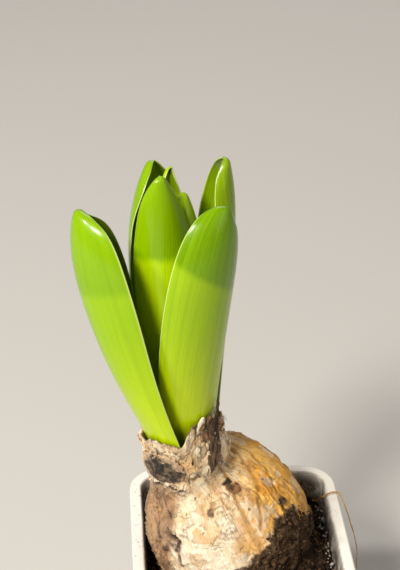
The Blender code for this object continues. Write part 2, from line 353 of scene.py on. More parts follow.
def newGroup(name, ins, outs):
    # starts a group whose inputs are (label, value); a colour has three numbers, a vector None
    group = bpy.data.node_groups.new(name, "ShaderNodeTree")
    for label, value in ins:
        kind = "Vector" if value is None else "Color" if isinstance(value, tuple) else "Float"
        socket = group.interface.new_socket(name=label, in_out="INPUT", socket_type="NodeSocket" + kind)
        if value is not None:
            socket.default_value = opaque(value)
    for label in outs:
        kind = "Color" if label == "Color" else "Float"
        group.interface.new_socket(name=label, in_out="OUTPUT", socket_type="NodeSocket" + kind)
    work.update(tree=group, end=group.nodes.new("NodeGroupOutput"))
    return group, group.nodes.new("NodeGroupInput").outputs


def addGroup(group, **feeds):
    return put("ShaderNodeGroup", {label.replace("_", " "): value for label, value in feeds.items()},
               node_tree=group).outputs


def newMaterial(name, roughness, **sockets):
    material = bpy.data.materials.new(name)
    material.use_nodes = True
    tree = material.node_tree
    work.update(material=material, tree=tree, end=tree.nodes["Principled BSDF"])
    feed("Roughness", roughness)
    for label, value in sockets.items():
        feed(label.replace("_", " "), value)


def bumpInto(height, distance, strength=1.0):
    bump = put("ShaderNodeBump", {"Height": height, "Distance": distance, "Strength": strength})
    feed("Normal", bump.outputs[0])


# shared effects

# speckle: a mask of small scattered spots
speckleGroup, given = newGroup("speckle", [("Vector", None), ("Scale", 400.0), ("Cover", 0.3),
                               ("Patchiness", 60.0)], ["Mask"])
cells = put("ShaderNodeTexVoronoi", {"Vector": given["Vector"], "Scale": given["Scale"], "Randomness": 1.0})
dots = minus(1.0, times(cells.outputs["Distance"], 3.2), clamp=True)
patch = noiseOf(given["Vector"], given["Patchiness"], 5.0, 0.65)
gate = times(plus(minus(patch, 0.72), times(given["Cover"], 0.6)), 8.0, clamp=True)
feed("Mask", times(dots, gate, clamp=True))

# leafSkin: lime foot, darker top above an uneven band, veins that run along, pale thin margins
leafGroup, given = newGroup("leafSkin", [
    ("Foot", (0.6, 0.8, 0.0)), ("Middle", (0.4, 0.62, 0.0)), ("Top", (0.25, 0.46, 0.0)),
    ("Margin", (0.6, 0.66, 0.3)), ("Band", 0.7), ("Band tilt", 0.0), ("Veins", 1.0), ("Seed", 0.0)],
    ["Color", "Height", "Roughness"])
u, v = put("ShaderNodeSeparateXYZ", {0: put("ShaderNodeTexCoord").outputs["UV"]}).outputs[:2]
shifted = put("ShaderNodeCombineXYZ", {0: u, 1: v, 2: given["Seed"]}).outputs[0]
fineVeins = noiseOf(stretched(shifted, (70.0, 1.6, 3.0)), 1.0, 3.0, 0.6)
wideVeins = noiseOf(stretched(shifted, (22.0, 1.1, 5.0)), 1.0, 2.0, 0.5)
mottle = noiseOf(stretched(shifted, (9.0, 9.0, 7.0)), 1.0, 5.0, 0.6)
bandPlace = plus(v, times(minus(u, 0.5), given["Band tilt"]))
bandPlace = plus(bandPlace, times(minus(fineVeins, 0.5), 0.035))
rise = calc("DIVIDE", v, given["Band"], clamp=True)
body = blend(stepMask(rise, 0.15, 0.95), given["Foot"], given["Middle"])
body = layer(body, stepMask(minus(bandPlace, given["Band"]), -0.012, 0.022), given["Top"])
streak = plus(times(fineVeins, 0.55), times(wideVeins, 0.45))
streak = times(minus(streak, 0.5), given["Veins"])
body = layer(body, times(streak, 1.6, clamp=True), (0.50, 0.70, 0.0))
body = layer(body, times(streak, -1.8, clamp=True), (0.10, 0.22, 0.0))
body = layer(body, times(minus(mottle, 0.42), 0.5, clamp=True), (0.2, 0.42, 0.0))
edge = calc("MINIMUM", u, minus(1.0, u))
body = layer(body, minus(1.0, stepMask(edge, 0.005, 0.018)), given["Margin"], 0.85)
feed("Color", body)
feed("Height", plus(times(fineVeins, 0.5), times(mottle, 0.5)))
feed("Roughness", plus(0.12, times(mottle, 0.3)))

# paper: dry layered skin, with light and dark flecks, cracks and fine wrinkles
paperGroup, given = newGroup("paper", [
    ("Vector", None), ("Light", (0.9, 0.75, 0.5)), ("Deep", (0.5, 0.25, 0.08)), ("Scale", 1.0),
    ("Cracks", 0.5)], ["Color", "Height", "Cracks"])
scaled = put("ShaderNodeVectorMath", {0: given["Vector"], "Scale": given["Scale"]}, operation="SCALE")
scaled = scaled.outputs[0]
cloud = noiseOf(scaled, 90.0, 6.0, 0.6, 0.6)
grain = noiseOf(scaled, 700.0, 6.0, 0.7)
edges = put("ShaderNodeTexVoronoi", {"Vector": warped(scaled, 160.0, 4.0, 0.012), "Scale": 150.0},
            feature="DISTANCE_TO_EDGE")
broken = noiseOf(scaled, 260.0, 3.0, 0.6)
crackMask = minus(1.0, stepMask(edges.outputs["Distance"], 0.0, 0.045))
crackMask = times(crackMask, stepMask(broken, 0.5, 0.62))
crackMask = times(crackMask, given["Cracks"], clamp=True)
skin = blend(stepMask(cloud, 0.38, 0.66), given["Light"], given["Deep"])
feed("Color", layer(skin, stepMask(grain, 0.5, 0.72), given["Deep"], 0.35))
feed("Height", minus(plus(times(cloud, 0.5), times(grain, 0.5)), times(crackMask, 0.6)))
feed("Cracks", crackMask)
print("shared effects ready")


def paperSkin(light, deep, scale, cracks):
    return addGroup(paperGroup, Vector=objectPlace(), Light=light, Deep=deep, Scale=scale, Cracks=cracks)


def speckle(scale, cover, patchiness):
    spots = addGroup(speckleGroup, Vector=objectPlace(), Scale=scale, Cover=cover, Patchiness=patchiness)
    return spots["Mask"]


# leaves

# shade in each leaf is the share of painted shade laid over the blade's inner face
leaves = {
    "leaf_left": {
        "midrib": [(-31.5, -7, 111), (-29, -12.5, 130), (-56, -14, 155), (-64, -10, 204.5), (-58, -5, 214.2)],
        "face": (36, -11, 7), "wrap": (53, 83, 72), "half": 17.9, "foot": 0.72, "widest": 0.65,
        "deep": 1.5, "hood": 0, "hook": 2.6, "band": 0.69, "shade": 0.75, "veins": 0.55,
        "footColour": (0.56, 0.72, 0.0), "middleColour": (0.27, 0.46, 0.0), "topColour": (0.20, 0.37, 0.0),
    },
    "leaf_right": {
        "midrib": [(-19.5, -8.6, 111), (-22, -17, 147), (-12, -25, 202), (-10, -9, 216.4)],
        "face": (92, 132, 125), "wrap": (56, 57, 61), "half": 16.6, "foot": 0.64, "widest": 0.62,
        "hood": 22, "hook": 2.2, "band": 0.675, "bandTilt": 0.14, "shade": 0.4, "veins": 0.75,
        "footColour": (0.58, 0.73, 0.0), "middleColour": (0.28, 0.45, 0.0), "topColour": (0.14, 0.28, 0.0),
    },
    "leaf_centre": {
        "midrib": [(-22.5, -4, 111), (-33, -13, 147), (-25, -12, 194), (-31, -3, 223.5)],
        "face": (68, 75, 124), "wrap": (48, 55, 78), "half": 12.7, "foot": 0.48, "widest": 0.66,
        "hood": 20, "hook": 1.8, "band": 0.725, "shade": 0.5, "veins": 0.6,
        "footColour": (0.76, 0.86, 0.0), "middleColour": (0.46, 0.67, 0.0), "topColour": (0.21, 0.38, 0.0),
    },
    "leaf_back_left": {
        "midrib": [(-25.5, 10.5, 111), (-34, 16, 150), (-43, 17, 199.5), (-34, 19, 219.5)],
        "face": (-52, -50, -32), "wrap": (42, 59, 81), "half": 13.7, "foot": 0.55, "widest": 0.74,
        "hood": 15, "hook": 2.0, "band": 0.68, "shade": 0.45, "veins": 0.9,
        "footColour": (0.46, 0.64, 0.0), "middleColour": (0.30, 0.47, 0.0), "topColour": (0.19, 0.35, 0.0),
    },
    "leaf_back_right": {
        "midrib": [(-12, 9, 111), (-13, 17, 152), (0, 22, 193.5), (-8, 15, 221)],
        "face": (-133, -148, -187), "wrap": (38, 75, 84), "half": 15.6, "foot": 0.42, "widest": 0.69,
        "hood": 20, "hook": 2.0, "band": 0.67, "bandTilt": 0.03, "shade": 0.3, "veins": 1.0,
        "footColour": (0.46, 0.62, 0.0), "middleColour": (0.27, 0.42, 0.0), "topColour": (0.20, 0.32, 0.0),
    },
    "leaf_inner_left": {
        "midrib": [(-21, 7, 111), (-25, 9, 150), (-33, 12, 190), (-28, 13, 220)],
        "face": (-80, -81, -69), "wrap": (50, 60, 75), "half": 7.2, "foot": 0.63, "widest": 0.61,
        "thick": 1.6, "blunt": 4.5, "hood": 60, "hook": 2.4, "band": 0.7, "shade": 0.6, "veins": 0.7,
        "footColour": (0.5, 0.66, 0.0), "middleColour": (0.4, 0.56, 0.0), "topColour": (0.36, 0.5, 0.01),
    },
    "leaf_inner_right": {
        "midrib": [(-15.5, 1, 111), (-11, 4, 151), (-12, 8, 191), (-23, 6, 214)],
        "face": (170, 161, 191), "wrap": (48, 53, 75), "half": 7.6, "foot": 0.51, "widest": 0.66,
        "thick": 1.6, "blunt": 4.5, "hood": 60, "hook": 2.4, "band": 0.7, "shade": 0.5, "veins": 0.7,
        "footColour": (0.5, 0.66, 0.0), "middleColour": (0.34, 0.5, 0.0), "topColour": (0.27, 0.42, 0.0),
    },
}
leafShared = {"deep": 1.0, "thick": 1.5, "blunt": 2.2, "bandTilt": 0.0}
leafGrid = {"across": 30, "along": 84}


def bezier(points, t):
    row = [np.array(point, float)[None, :] * np.ones((len(t), 1)) for point in points]
    share = t[:, None]
    while len(row) > 1:
        row = [a * (1 - share) + b * share for a, b in zip(row[:-1], row[1:])]
    return row[0]


def unit(vectors):
    return vectors / np.maximum(np.linalg.norm(vectors, axis=1), 1e-12)[:, None]


def leafSurface(leaf, t, s):
    # outer skin of a rolled blade and its wall; t runs up the midrib and s across it from -1 to 1
    middle = bezier(leaf["midrib"], t)
    step = 0.001
    ahead = bezier(leaf["midrib"], np.minimum(t + step, 1))
    along = unit(ahead - bezier(leaf["midrib"], np.maximum(t - step, 0)))
    foot, mid, tip = leaf["face"]
    face = np.radians(foot * (1 - t) ** 2 + 2 * mid * t * (1 - t) + tip * t ** 2)
    inward = xyz(np.cos(face), np.sin(face), 0.0)
    inward = unit(inward - (inward * along).sum(1)[:, None] * along)
    sideways = np.cross(along, inward)
    widest = leaf["widest"]
    rise = smoothStep(0, 1, t / widest)
    past = np.clip((t - widest) / (1 - widest), 0, 1)
    below = t < widest
    width = np.where(below, between(leaf["foot"], 1, rise), np.clip(1 - past ** leaf["blunt"], 0, 1) ** 0.5)
    footWrap, midWrap, tipWrap = leaf["wrap"]
    closing = between(midWrap, tipWrap, smoothStep(0, 1, past))
    wrap = np.where(below, between(footWrap, midWrap, rise), closing)
    wrap = np.radians(wrap + leaf["hood"] * smoothStep(0.72, 1.0, past))
    deep = between(1, leaf["deep"], rise)
    radius = leaf["half"] * width / wrap
    angle = s * wrap
    fromTip = np.linalg.norm(middle - bezier(leaf["midrib"], np.ones(1)), axis=1)
    bend = leaf["hook"]
    hook = bend - np.sqrt(np.clip(bend ** 2 - np.clip(bend - fromTip, 0, None) ** 2, 0, None))
    points = middle + (hook + deep * radius * (1 - np.cos(angle)))[:, None] * inward
    points = points + (radius * np.sin(angle))[:, None] * sideways
    wall = np.minimum(leaf["thick"] * (1 - 0.72 * s * s), 0.6 * radius)
    return points, wall


def leafMaterial(name, leaf, seed):
    newMaterial(name, 0.35, IOR=1.4, Specular_IOR_Level=0.2, Coat_Weight=0.4, Coat_Roughness=0.17,
                Subsurface_Weight=0.06, Subsurface_Scale=0.002, Subsurface_Radius=(0.8, 1.0, 0.1))
    skin = addGroup(leafGroup, Foot=leaf["footColour"], Middle=leaf["middleColour"], Top=leaf["topColour"],
                    Margin=(0.58, 0.70, 0.20), Band=leaf["band"], Band_tilt=leaf["bandTilt"],
                    Veins=leaf["veins"], Seed=seed)
    # the inner face is darkened towards deep green as painted shade, by the leaf's shade share
    feed("Base Color", layer(skin["Color"], attributeOf("innerFace"), (0.06, 0.11, 0.0), leaf["shade"]))
    feed("Roughness", skin["Roughness"])
    bumpInto(skin["Height"], 0.0004, 0.5)


leafCloud = []
for seed, name in enumerate(leaves):
    leaf = {**leafShared, **leaves[name]}
    walls = []

    def shapeLeaf(u, v):
        t = np.sin(v * math.pi / 2)
        points, wall = leafSurface(leaf, t, 1 - 2 * u)
        drift = noise(xyz(u * 2.2, t * 5, 3.7 * seed), 11)
        walls.append(np.clip(wall, 0.12, None))
        leafCloud.append(points)
        return points + 0.25 * drift[:, None] * smoothStep(0.2, 0.6, t)[:, None]

    piece, u, v = gridPiece(name + "_blade", leafGrid["across"], leafGrid["along"], shapeLeaf,
                            lambda u, v: (u, np.sin(v * math.pi / 2)))
    shareWall(piece, walls[0] / leaf["thick"])
    sealSheet(piece)
    thicken(piece, leaf["thick"])
    seal(piece)
    leafMaterial("leaf skin " + name, leaf, 3.1 * seed)
    finishPiece(piece, [name])
leafCloud = np.concatenate(leafCloud)
print("leaves ready")


# bulb

bulb = {
    "centre": (-5.0, 1.0, 83.0), "radius": 30.0, "tilt": 24.0,
    "neck": [(107.5, -17.5, 1.0, 17.0, 17.6, 18.0), (112.0, -20.2, 0.0, 15.2, 16.6, 9.0),
             (117.5, -21.2, -0.6, 15.3, 17.6, 0.0), (124.5, -22.2, -0.9, 16.1, 18.7, 0.0)],
    "mouthMiddle": (-22.2, -0.9),
    # height of the ragged mouth at angles round it, from the left side over the front to the right
    "mouth": [(-180, 124.5), (-155, 128.5), (-125, 131.5), (-98, 130.5), (-84, 134.5), (-66, 137.0),
              (-48, 137.5), (-30, 132.0), (0, 127.0), (40, 124.0), (90, 122.0), (140, 122.5), (180, 124.5)],
    "ragged": 1.3, "skin": 0.55, "around": 360, "up": 236,
    # how far the neck is drawn in below the mouth at its left, at which angle and height share
    "waist": (3.6, -165.0, 0.955),
    # the flatter right side: depth, its spread round, height share and spread up
    "flatSide": (2.6, 42, 0.56, 0.2),
    # share of the rows on the outer skin, then the inside of the mouth down to its floor
    "outside": 0.8, "socket": 109.0, "socketWide": 13.0,
}
bulbCentre = np.array(bulb["centre"])
lean = math.radians(bulb["tilt"])
bulbAxis = np.array((-math.sin(lean), 0.0, math.cos(lean)))


def reachOfLeaves():
    # how far the leaf bases stand out from the middle of the mouth, by angle and height
    x = leafCloud[:, 0] - bulb["mouthMiddle"][0]
    y = leafCloud[:, 1] - bulb["mouthMiddle"][1]
    angle = compassOf(x, y)
    far = np.hypot(x, y)
    heights = np.arange(112, 150, 3.0)
    angles = np.arange(-180, 180, 6.0)
    table = np.zeros((len(heights), len(angles)))
    for row, z in enumerate(heights):
        near = np.abs(leafCloud[:, 2] - z) < 2.5
        found = []
        for a in angles:
            here = near & (np.abs(turnTo(angle, a)) < 7)
            found.append(far[here].max() if here.any() else np.nan)
        found = np.array(found)
        good = ~np.isnan(found)
        filled = np.interp(angles, angles[good], found[good], period=360)
        for turn in range(3):
            spread = (np.roll(filled, 1) + filled + np.roll(filled, -1)) / 3
            filled = np.maximum(spread, filled - 0.3)
        table[row] = filled
    return heights, angles, table


reachHeights, reachAngles, reachTable = reachOfLeaves()


def leafReach(angle, z):
    # bilinear read of the table, round the circle
    column = ((angle + 180) % 360) / 6.0
    c0 = np.floor(column).astype(int) % len(reachAngles)
    c1 = (c0 + 1) % len(reachAngles)
    cs = column - np.floor(column)
    row = np.clip((z - reachHeights[0]) / 3.0, 0, len(reachHeights) - 1.001)
    r0 = row.astype(int)
    rs = row - r0
    low = between(reachTable[r0, c0], reachTable[r0, c1], cs)
    high = between(reachTable[r0 + 1, c0], reachTable[r0 + 1, c1], cs)
    return between(low, high, rs)


def ringRows():
    rows = []
    radius = bulb["radius"]
    for degree in list(range(-88, 40, 8)) + [41.8]:
        along = radius * math.sin(math.radians(degree))
        width = radius * math.cos(math.radians(degree))
        middle = bulbCentre + bulbAxis * along
        rows.append((*middle, width, width, bulb["tilt"]))
    for z, x, y, halfX, halfY, tilt in bulb["neck"]:
        rows.append((x, y, z, halfX, halfY, tilt))
    rows = np.array(rows)
    steps = np.hypot(np.linalg.norm(np.diff(rows[:, :3], axis=0), axis=1), np.diff(rows[:, 3]))
    return rows, np.concatenate([[0], np.cumsum(steps)])


ringTable, ringStations = ringRows()
skinLength = ringStations[-1]


def mouthHeight(angle):
    marks = np.array(bulb["mouth"], float)
    base = np.interp(turnTo(angle, 0), marks[:, 0], marks[:, 1])
    circle = onCircle(angle)
    jag = 0.8 * noise(circle * 9, 5) + 0.7 * noise(circle * 24, 6) + 0.5 * noise(circle * 52, 7)
    return base + bulb["ragged"] * jag


def bulbSkin(angle, w):
    # smooth outer skin: angle round the leaning axis in degrees, w from the basal plate to the mouth
    row = splineRows(ringTable, ringStations, w * skinLength)
    turn = np.radians(angle)
    tilt = np.radians(row[:, 5])
    x = row[:, 3] * np.cos(turn)
    y = row[:, 4] * np.sin(turn)
    points = row[:, :3] + xyz(x * np.cos(tilt), y, x * np.sin(tilt))
    # the neck rises to its ragged mouth and closes round the leaves
    neckShare = smoothStep(0.86, 1.0, w)
    lifted = points[:, 2] + (mouthHeight(angle) - 124.5) * neckShare
    points[:, 2] = lifted
    away = points[:, :2] - np.array(bulb["mouthMiddle"])
    far = np.hypot(away[:, 0], away[:, 1])
    compass = compassOf(away[:, 0], away[:, 1])
    hug = leafReach(compass, lifted) + bulb["skin"] + 0.35
    closer = smoothStep(0.9, 0.985, w)
    wanted = between(far, hug, closer)
    pinch, pinchAngle, pinchAt = bulb["waist"]
    leftShare = np.exp(-(turnTo(angle, pinchAngle) / 45) ** 4)
    drawn = wanted - pinch * leftShare * bell(w - pinchAt, 0.03)
    wanted = np.minimum(wanted, np.maximum(drawn, hug))
    points[:, :2] = np.array(bulb["mouthMiddle"]) + away * (wanted / far)[:, None]
    return points


def skinNormals(angle, w):
    step = 0.5
    tall = 0.004
    around = bulbSkin(angle + step, w) - bulbSkin(angle - step, w)
    upward = bulbSkin(angle, np.minimum(w + tall, 1)) - bulbSkin(angle, np.maximum(w - tall, 0))
    return unit(np.cross(around, upward))


def onSkin(angle, w):
    # place, sideways and upward directions of one spot on the smooth skin
    angle = np.array([float(angle)])
    w = np.array([float(w)])
    spotAt = bulbSkin(angle, w)[0]
    sideways = unit(bulbSkin(angle + 1, w) - bulbSkin(angle - 1, w))[0]
    upward = unit(bulbSkin(angle, w + 0.004) - bulbSkin(angle, w - 0.004))[0]
    return spotAt, sideways, upward


def markAway(points, angle, w, wide, tall, turn=0.0):
    # distance from an oval mark's middle: 1 on its rim
    spotAt, sideways, upward = onSkin(angle, w)
    away = points - spotAt
    x, y = turned(away @ sideways, away @ upward, -turn)
    z = away @ np.cross(sideways, upward)
    return np.sqrt((x / wide * 2) ** 2 + (y / tall * 2) ** 2 + (z / 8) ** 2)


def routeAway(points, route):
    # distance in millimetres from a line of (angle, w) stops drawn on the skin
    stops = np.array(route, float)
    count = 6 * (len(stops) - 1) + 1
    fine = splineRows(stops, np.arange(len(stops)), np.linspace(0, len(stops) - 1, count))
    knots = bulbSkin(fine[:, 0], fine[:, 1])
    best = np.full(len(points), 1e9)
    for a, b in zip(knots[:-1], knots[1:]):
        span = b - a
        share = np.clip(((points - a) @ span) / (span @ span), 0, 1)
        best = np.minimum(best, np.linalg.norm(points - a - share[:, None] * span, axis=1))
    return best


# marks on the skin: angle round the axis, share of the way up, width, height, turn
bulbMarks = {
    "scab": (-55, 0.762, 3.8, 7.4, 24),
    "scabHead": (-53.5, 0.803, 5.6, 1.5, -12),
    "diamond": (-87, 0.722, 2.8, 3.0, 20),
    "hole": (-128, 0.642, 7.6, 2.6, -14),
    "dots": [(-125, 0.615, 3.2), (-138, 0.60, 2.2), (-96, 0.80, 0.6), (-30, 0.70, 0.8), (-100, 0.66, 0.5),
             (-58, 0.66, 0.6), (-112, 0.74, 0.6), (-80, 0.79, 0.5), (-118, 0.60, 0.8), (-20, 0.80, 0.6),
             (20, 0.62, 1.2), (70, 0.70, 1.3), (130, 0.66, 1.2), (160, 0.74, 1.0)],
    # height that soil sticks up to, by compass angle round the bulb
    "dirtTop": [(-180, 66), (-130, 70), (-105, 75), (-86, 82), (-73, 89), (-64, 93), (-51, 98), (-42, 101),
                (-32, 99), (-23, 92), (-5, 87), (20, 82), (60, 76), (110, 72), (180, 66)],
}
# cracks and folds: width, depth, and a line of angle and height share
bulbLines = {
    "fold": (0.55, 1.0, [(-150, 0.835), (-138, 0.852), (-125, 0.856), (-109, 0.842), (-98, 0.848)]),
    "seam": (0.5, 0.9, [(-146, 0.82), (-136, 0.76), (-128, 0.70), (-126, 0.62), (-128, 0.52)]),
    "crackLeft": (0.4, 0.7, [(-160, 0.80), (-152, 0.74), (-150, 0.68), (-144, 0.63)]),
    "hem": (0.4, 0.6, [(-140, 0.655), (-128, 0.668), (-116, 0.655), (-104, 0.63), (-94, 0.625)]),
    "wrinkle": (0.35, 0.5, [(-124, 0.70), (-114, 0.69), (-106, 0.70)]),
    "gap": (0.6, 0.9, [(-97, 0.968), (-92, 0.945), (-86, 0.926)]),
    "gapLow": (0.4, 0.7, [(-112, 0.90), (-100, 0.885), (-86, 0.892), (-76, 0.88)]),
}
bulbVeins = [
    [(17, 0.932), (-3, 0.822), (-27, 0.743), (-46, 0.661), (-59, 0.575)],
    [(24, 0.85), (-3, 0.723), (-25, 0.629), (-34, 0.55)],
    [(-40, 0.90), (-45, 0.83), (-62, 0.72), (-64, 0.62)],
    [(60, 0.90), (44, 0.78), (30, 0.66), (20, 0.55)],
]


def dirtTop(points):
    compass = compassOf(points[:, 0] - bulbCentre[0], points[:, 1] - bulbCentre[1])
    rows = np.array(bulbMarks["dirtTop"], float)
    return np.interp(compass, rows[:, 0], rows[:, 1])


def peel(field, edge=0.12):
    # steps of a field with a lifted lip above each riser; gives height, lip and the crevice below, a mask for
    # painted shade under the lip
    t = field - np.floor(field)
    steps = np.floor(field) + smoothStep(0.5 - edge, 0.5 + edge, t)
    lip = smoothStep(0.5, 0.62, t) * (1 - smoothStep(0.62, 0.95, t))
    crevice = smoothStep(0.22, 0.42, t) * (1 - smoothStep(0.46, 0.56, t))
    return steps, lip, crevice


def shapeBulbSkin(angle, w, masks):
    base = bulbSkin(angle, w)
    normal = skinNormals(angle, w)
    way = unit(base - bulbCentre)
    flow = onCircle(angle)

    def flowing(around, upward):
        # place for ridges that run from the neck down to the root plate
        return xyz(flow[:, 0] * around, flow[:, 1] * around, w * upward)

    neck = smoothStep(0.86, 0.93, w)
    drift = xyz(*(noise(base / 6, seed) for seed in (21, 22, 23)))
    shiver = xyz(*(noise(base / 1.9, seed) for seed in (24, 25, 26)))
    wobbly = base + 0.9 * drift + 0.5 * shiver
    # golden right side, and a brown left side that is partly brown tunic and partly painted shade
    gold = smoothStep(-0.10, 0.62, way[:, 0] * 1.15 + 0.25 * way[:, 1] + 0.22 * way[:, 2] + 0.06
                      + 0.26 * fractal(base / 11, 3, 31))
    leftOf = smoothStep(-1.5, 1.5, -0.80 * (wobbly[:, 0] + 24.5) + 0.42 * (wobbly[:, 1] + 15.5))
    brown = leftOf * (1 - smoothStep(0.80, 0.88, w))
    # peeling layers, ridges that run from neck to root plate, fine wrinkles
    warped = base + 1.6 * drift
    steps, lip, crevice = peel(2.4 * fractal(warped / 9, 3, 41) + 0.8 * flow[:, 1])
    smallSteps, smallLip, smallCreviceShade = peel(2.2 * fractal(warped / 3.8, 3, 46))
    where = smoothStep(-0.25, 0.25, noise(base / 8, 47))
    lines = 1 - np.abs(noise(flowing(7.5, 3.2) + 0.35 * drift, 42))
    lines = smoothStep(0.72, 1.0, lines)
    fine = 1 - np.abs(noise(flowing(21, 5) + 0.5 * drift, 43))
    fine = smoothStep(0.6, 1.0, fine)
    wrinkles = fractal(base / 1.7, 3, 44)
    lumps = fractal(base / 22, 2, 45)
    calm = 1 - 0.6 * gold
    lift = 0.8 * lumps + calm * (0.30 * steps + 0.34 * lip * where) + (0.2 + 0.45 * gold) * lines
    lift += 0.16 * fine + 0.22 * wrinkles + calm * where * (0.20 * smallSteps + 0.26 * smallLip)
    # marks
    scab = 1 - smoothStep(0.8, 1.05, markAway(wobbly, *bulbMarks["scab"]))
    head = 1 - smoothStep(0.7, 1.1, markAway(wobbly, *bulbMarks["scabHead"]) + 0.5 * shiver[:, 0])
    diamond = 1 - smoothStep(0.75, 1.1, markAway(wobbly, *bulbMarks["diamond"]) + 0.3 * shiver[:, 1])
    dots = np.zeros(len(w))
    for a, h, size in bulbMarks["dots"]:
        away = markAway(wobbly, a, h, 2 * size, 1.5 * size, 30 * math.sin(a)) + 0.55 * shiver[:, 2]
        dots = np.maximum(dots, 1 - smoothStep(0.5, 1.1, away))
    hole = 1 - smoothStep(0.6, 1.15, markAway(wobbly, *bulbMarks["hole"]))
    dirt = smoothStep(-0.9, 0.9, dirtTop(base) - base[:, 2] + 3.8 * fractal(base / 4.2, 4, 51, 0.62))
    cut = np.zeros(len(w))
    for wide, depth, route in bulbLines.values():
        cut = np.maximum(cut, depth * (1 - smoothStep(0.15, wide * 1.8, routeAway(wobbly, route))))
    veins = np.zeros(len(w))
    for route in bulbVeins:
        veins = np.maximum(veins, 1 - smoothStep(0.1, 1.3, routeAway(wobbly, route)))
    lift += scab * (0.25 + 0.3 * wrinkles) + 0.25 * head
    lift -= 0.35 * diamond + 1.9 * hole + 0.9 * cut + 0.5 * veins
    lift += dirt * (0.7 + 1.3 * fractal(base / 1.6, 3, 52))
    overFold = bell(routeAway(wobbly, bulbLines["fold"][2]), 2.2)
    overHem = bell(routeAway(wobbly, bulbLines["hem"][2]), 2.4)
    lift += 0.7 * overFold + 0.6 * overHem
    flatDeep, flatWide, flatAt, flatTall = bulb["flatSide"]
    lift -= flatDeep * bell(turnTo(angle, 0), flatWide) * bell(w - flatAt, flatTall)
    # the neck: crumpled folds, calmer at the thin edge
    folds = noise(flowing(9, 14) + 0.9 * drift, 61)
    folds += 0.7 * noise(flowing(22, 30) + 0.9 * drift, 62)
    lift = lift * (1 - 0.3 * neck) + neck * 0.6 * folds
    edge = smoothStep(0.975, 1.0, w)
    lift = between(lift, np.clip(lift * 0.5, -0.1, 0.9), edge)
    floor = smoothStep(0.02, 0.12, w)
    if masks is not None:
        side = turnTo(angle, -62)
        char = np.exp(-(side / 23) ** 4) * smoothStep(0.955, 0.985, w + 0.012 * fractal(base / 2.5, 3, 63))
        char = np.maximum(char, smoothStep(0.985, 1.0, w + 0.01 * shiver[:, 0]) * smoothStep(-0.1, 0.5,
                          noise(base / 3, 64)))
        # painted shade in the crevices under the lifted lips of the peeling layers
        creviceShadeMask = np.maximum(crevice * where, 0.8 * smallCreviceShade * where) * calm
        # hole also carries the folds, seams, cracks and gaps; all of them are painted near black as painted
        # shade
        masks.update(gold=gold, brown=brown, scab=scab, scabHead=head, dots=np.maximum(dots, 0.9 * diamond),
                     hole=np.maximum(hole, cut), dirt=dirt, veins=np.maximum(0.6 * lines * gold, veins),
                     crevice=creviceShadeMask, neckSkin=neck, char=char)
        masks["flow"] = flowing(0.03, 0.09)
    return base + normal * (lift * floor)[:, None], normal


def shapeBulb(u, v):
    angle = 360 * u
    outside = bulb["outside"]
    w = np.clip(v / outside, 0, 1)
    skin, normal = shapeBulbSkin(angle, w, bulbMasks)
    top = shapeBulbSkin(angle, np.ones(len(w)), None)[0]
    down = np.clip((v - outside) / (1 - outside), 0, 1)
    sink = np.clip(down / 0.72, 0, 1)
    z = between(top[:, 2], bulb["socket"], sink)
    middle = np.array(bulb["mouthMiddle"])
    away = top[:, :2] - middle
    compass = compassOf(away[:, 0], away[:, 1])
    far = np.hypot(away[:, 0], away[:, 1])
    thin = bulb["skin"] * smoothStep(0, 0.06, sink)
    inner = np.minimum(far - thin, leafReach(compass, np.clip(z, 114, 149)) + 0.25)
    inner = np.minimum(inner, between(far - thin, bulb["socketWide"], smoothStep(0.45, 1.0, sink)))
    inner = inner * (1 - np.clip((down - 0.72) / 0.28, 0, 1))
    inside = xyz(middle[0] + away[:, 0] / far * inner, middle[1] + away[:, 1] / far * inner, z)
    bulbMasks["inside"] = (v > outside).astype(float)
    return np.where((v > outside)[:, None], inside, skin)


bulbMasks = {}
bulbPiece, u, v = gridPiece("bulb_skin", bulb["around"], bulb["up"], shapeBulb)
bulbPiece.data.attributes.new("flow", "FLOAT_VECTOR", "POINT")
bulbPiece.data.attributes["flow"].data.foreach_set("vector", bulbMasks.pop("flow").astype(np.float32).ravel())
for key, values in bulbMasks.items():
    paintAttribute(bulbPiece, key, np.clip(values, 0, 1))
seal(bulbPiece)

newMaterial("bulb tunic", 0.6, IOR=1.45, Subsurface_Weight=0.04, Subsurface_Scale=0.0015)
flow = attributeOf("flow", "Vector")
fibre = noiseOf(stretched(flow, (1500.0, 1500.0, 110.0)), 1.0, 4.0, 0.65, 0.4)
broad = noiseOf(stretched(flow, (330.0, 330.0, 60.0)), 1.0, 3.0, 0.6, 0.8)
paleSkin = paperSkin((0.98, 0.85, 0.64), (0.88, 0.60, 0.31), 0.8, 0.3)
goldSkin = paperSkin((0.97, 0.58, 0.14), (0.82, 0.36, 0.025), 1.2, 0.35)
# brown tunic colour for the left side, where it also stands in for painted shade
brownAndShadeSkin = paperSkin((0.50, 0.28, 0.13), (0.20, 0.09, 0.035), 1.5, 1.0)
scraps = put("ShaderNodeTexVoronoi", {"Vector": warped(objectPlace(), 260.0, 3.0, 0.008), "Scale": 210.0})
scrapTone = put("ShaderNodeSeparateColor", {0: scraps.outputs["Color"]}).outputs[0]
rot = grainOf(600.0, 5.0, 0.7)
scabColour = blend(stepMask(rot, 0.38, 0.6), (0.05, 0.022, 0.01), (0.27, 0.12, 0.04))
charColour = blend(stepMask(fibre, 0.4, 0.62), (0.025, 0.015, 0.01), (0.20, 0.12, 0.07))
soilGrain = grainOf(900.0, 6.0, 0.75)
dirtColour = blend(stepMask(soilGrain, 0.36, 0.62), (0.010, 0.006, 0.004), (0.13, 0.066, 0.024))
body = blend(attributeOf("gold"), paleSkin["Color"], goldSkin["Color"])
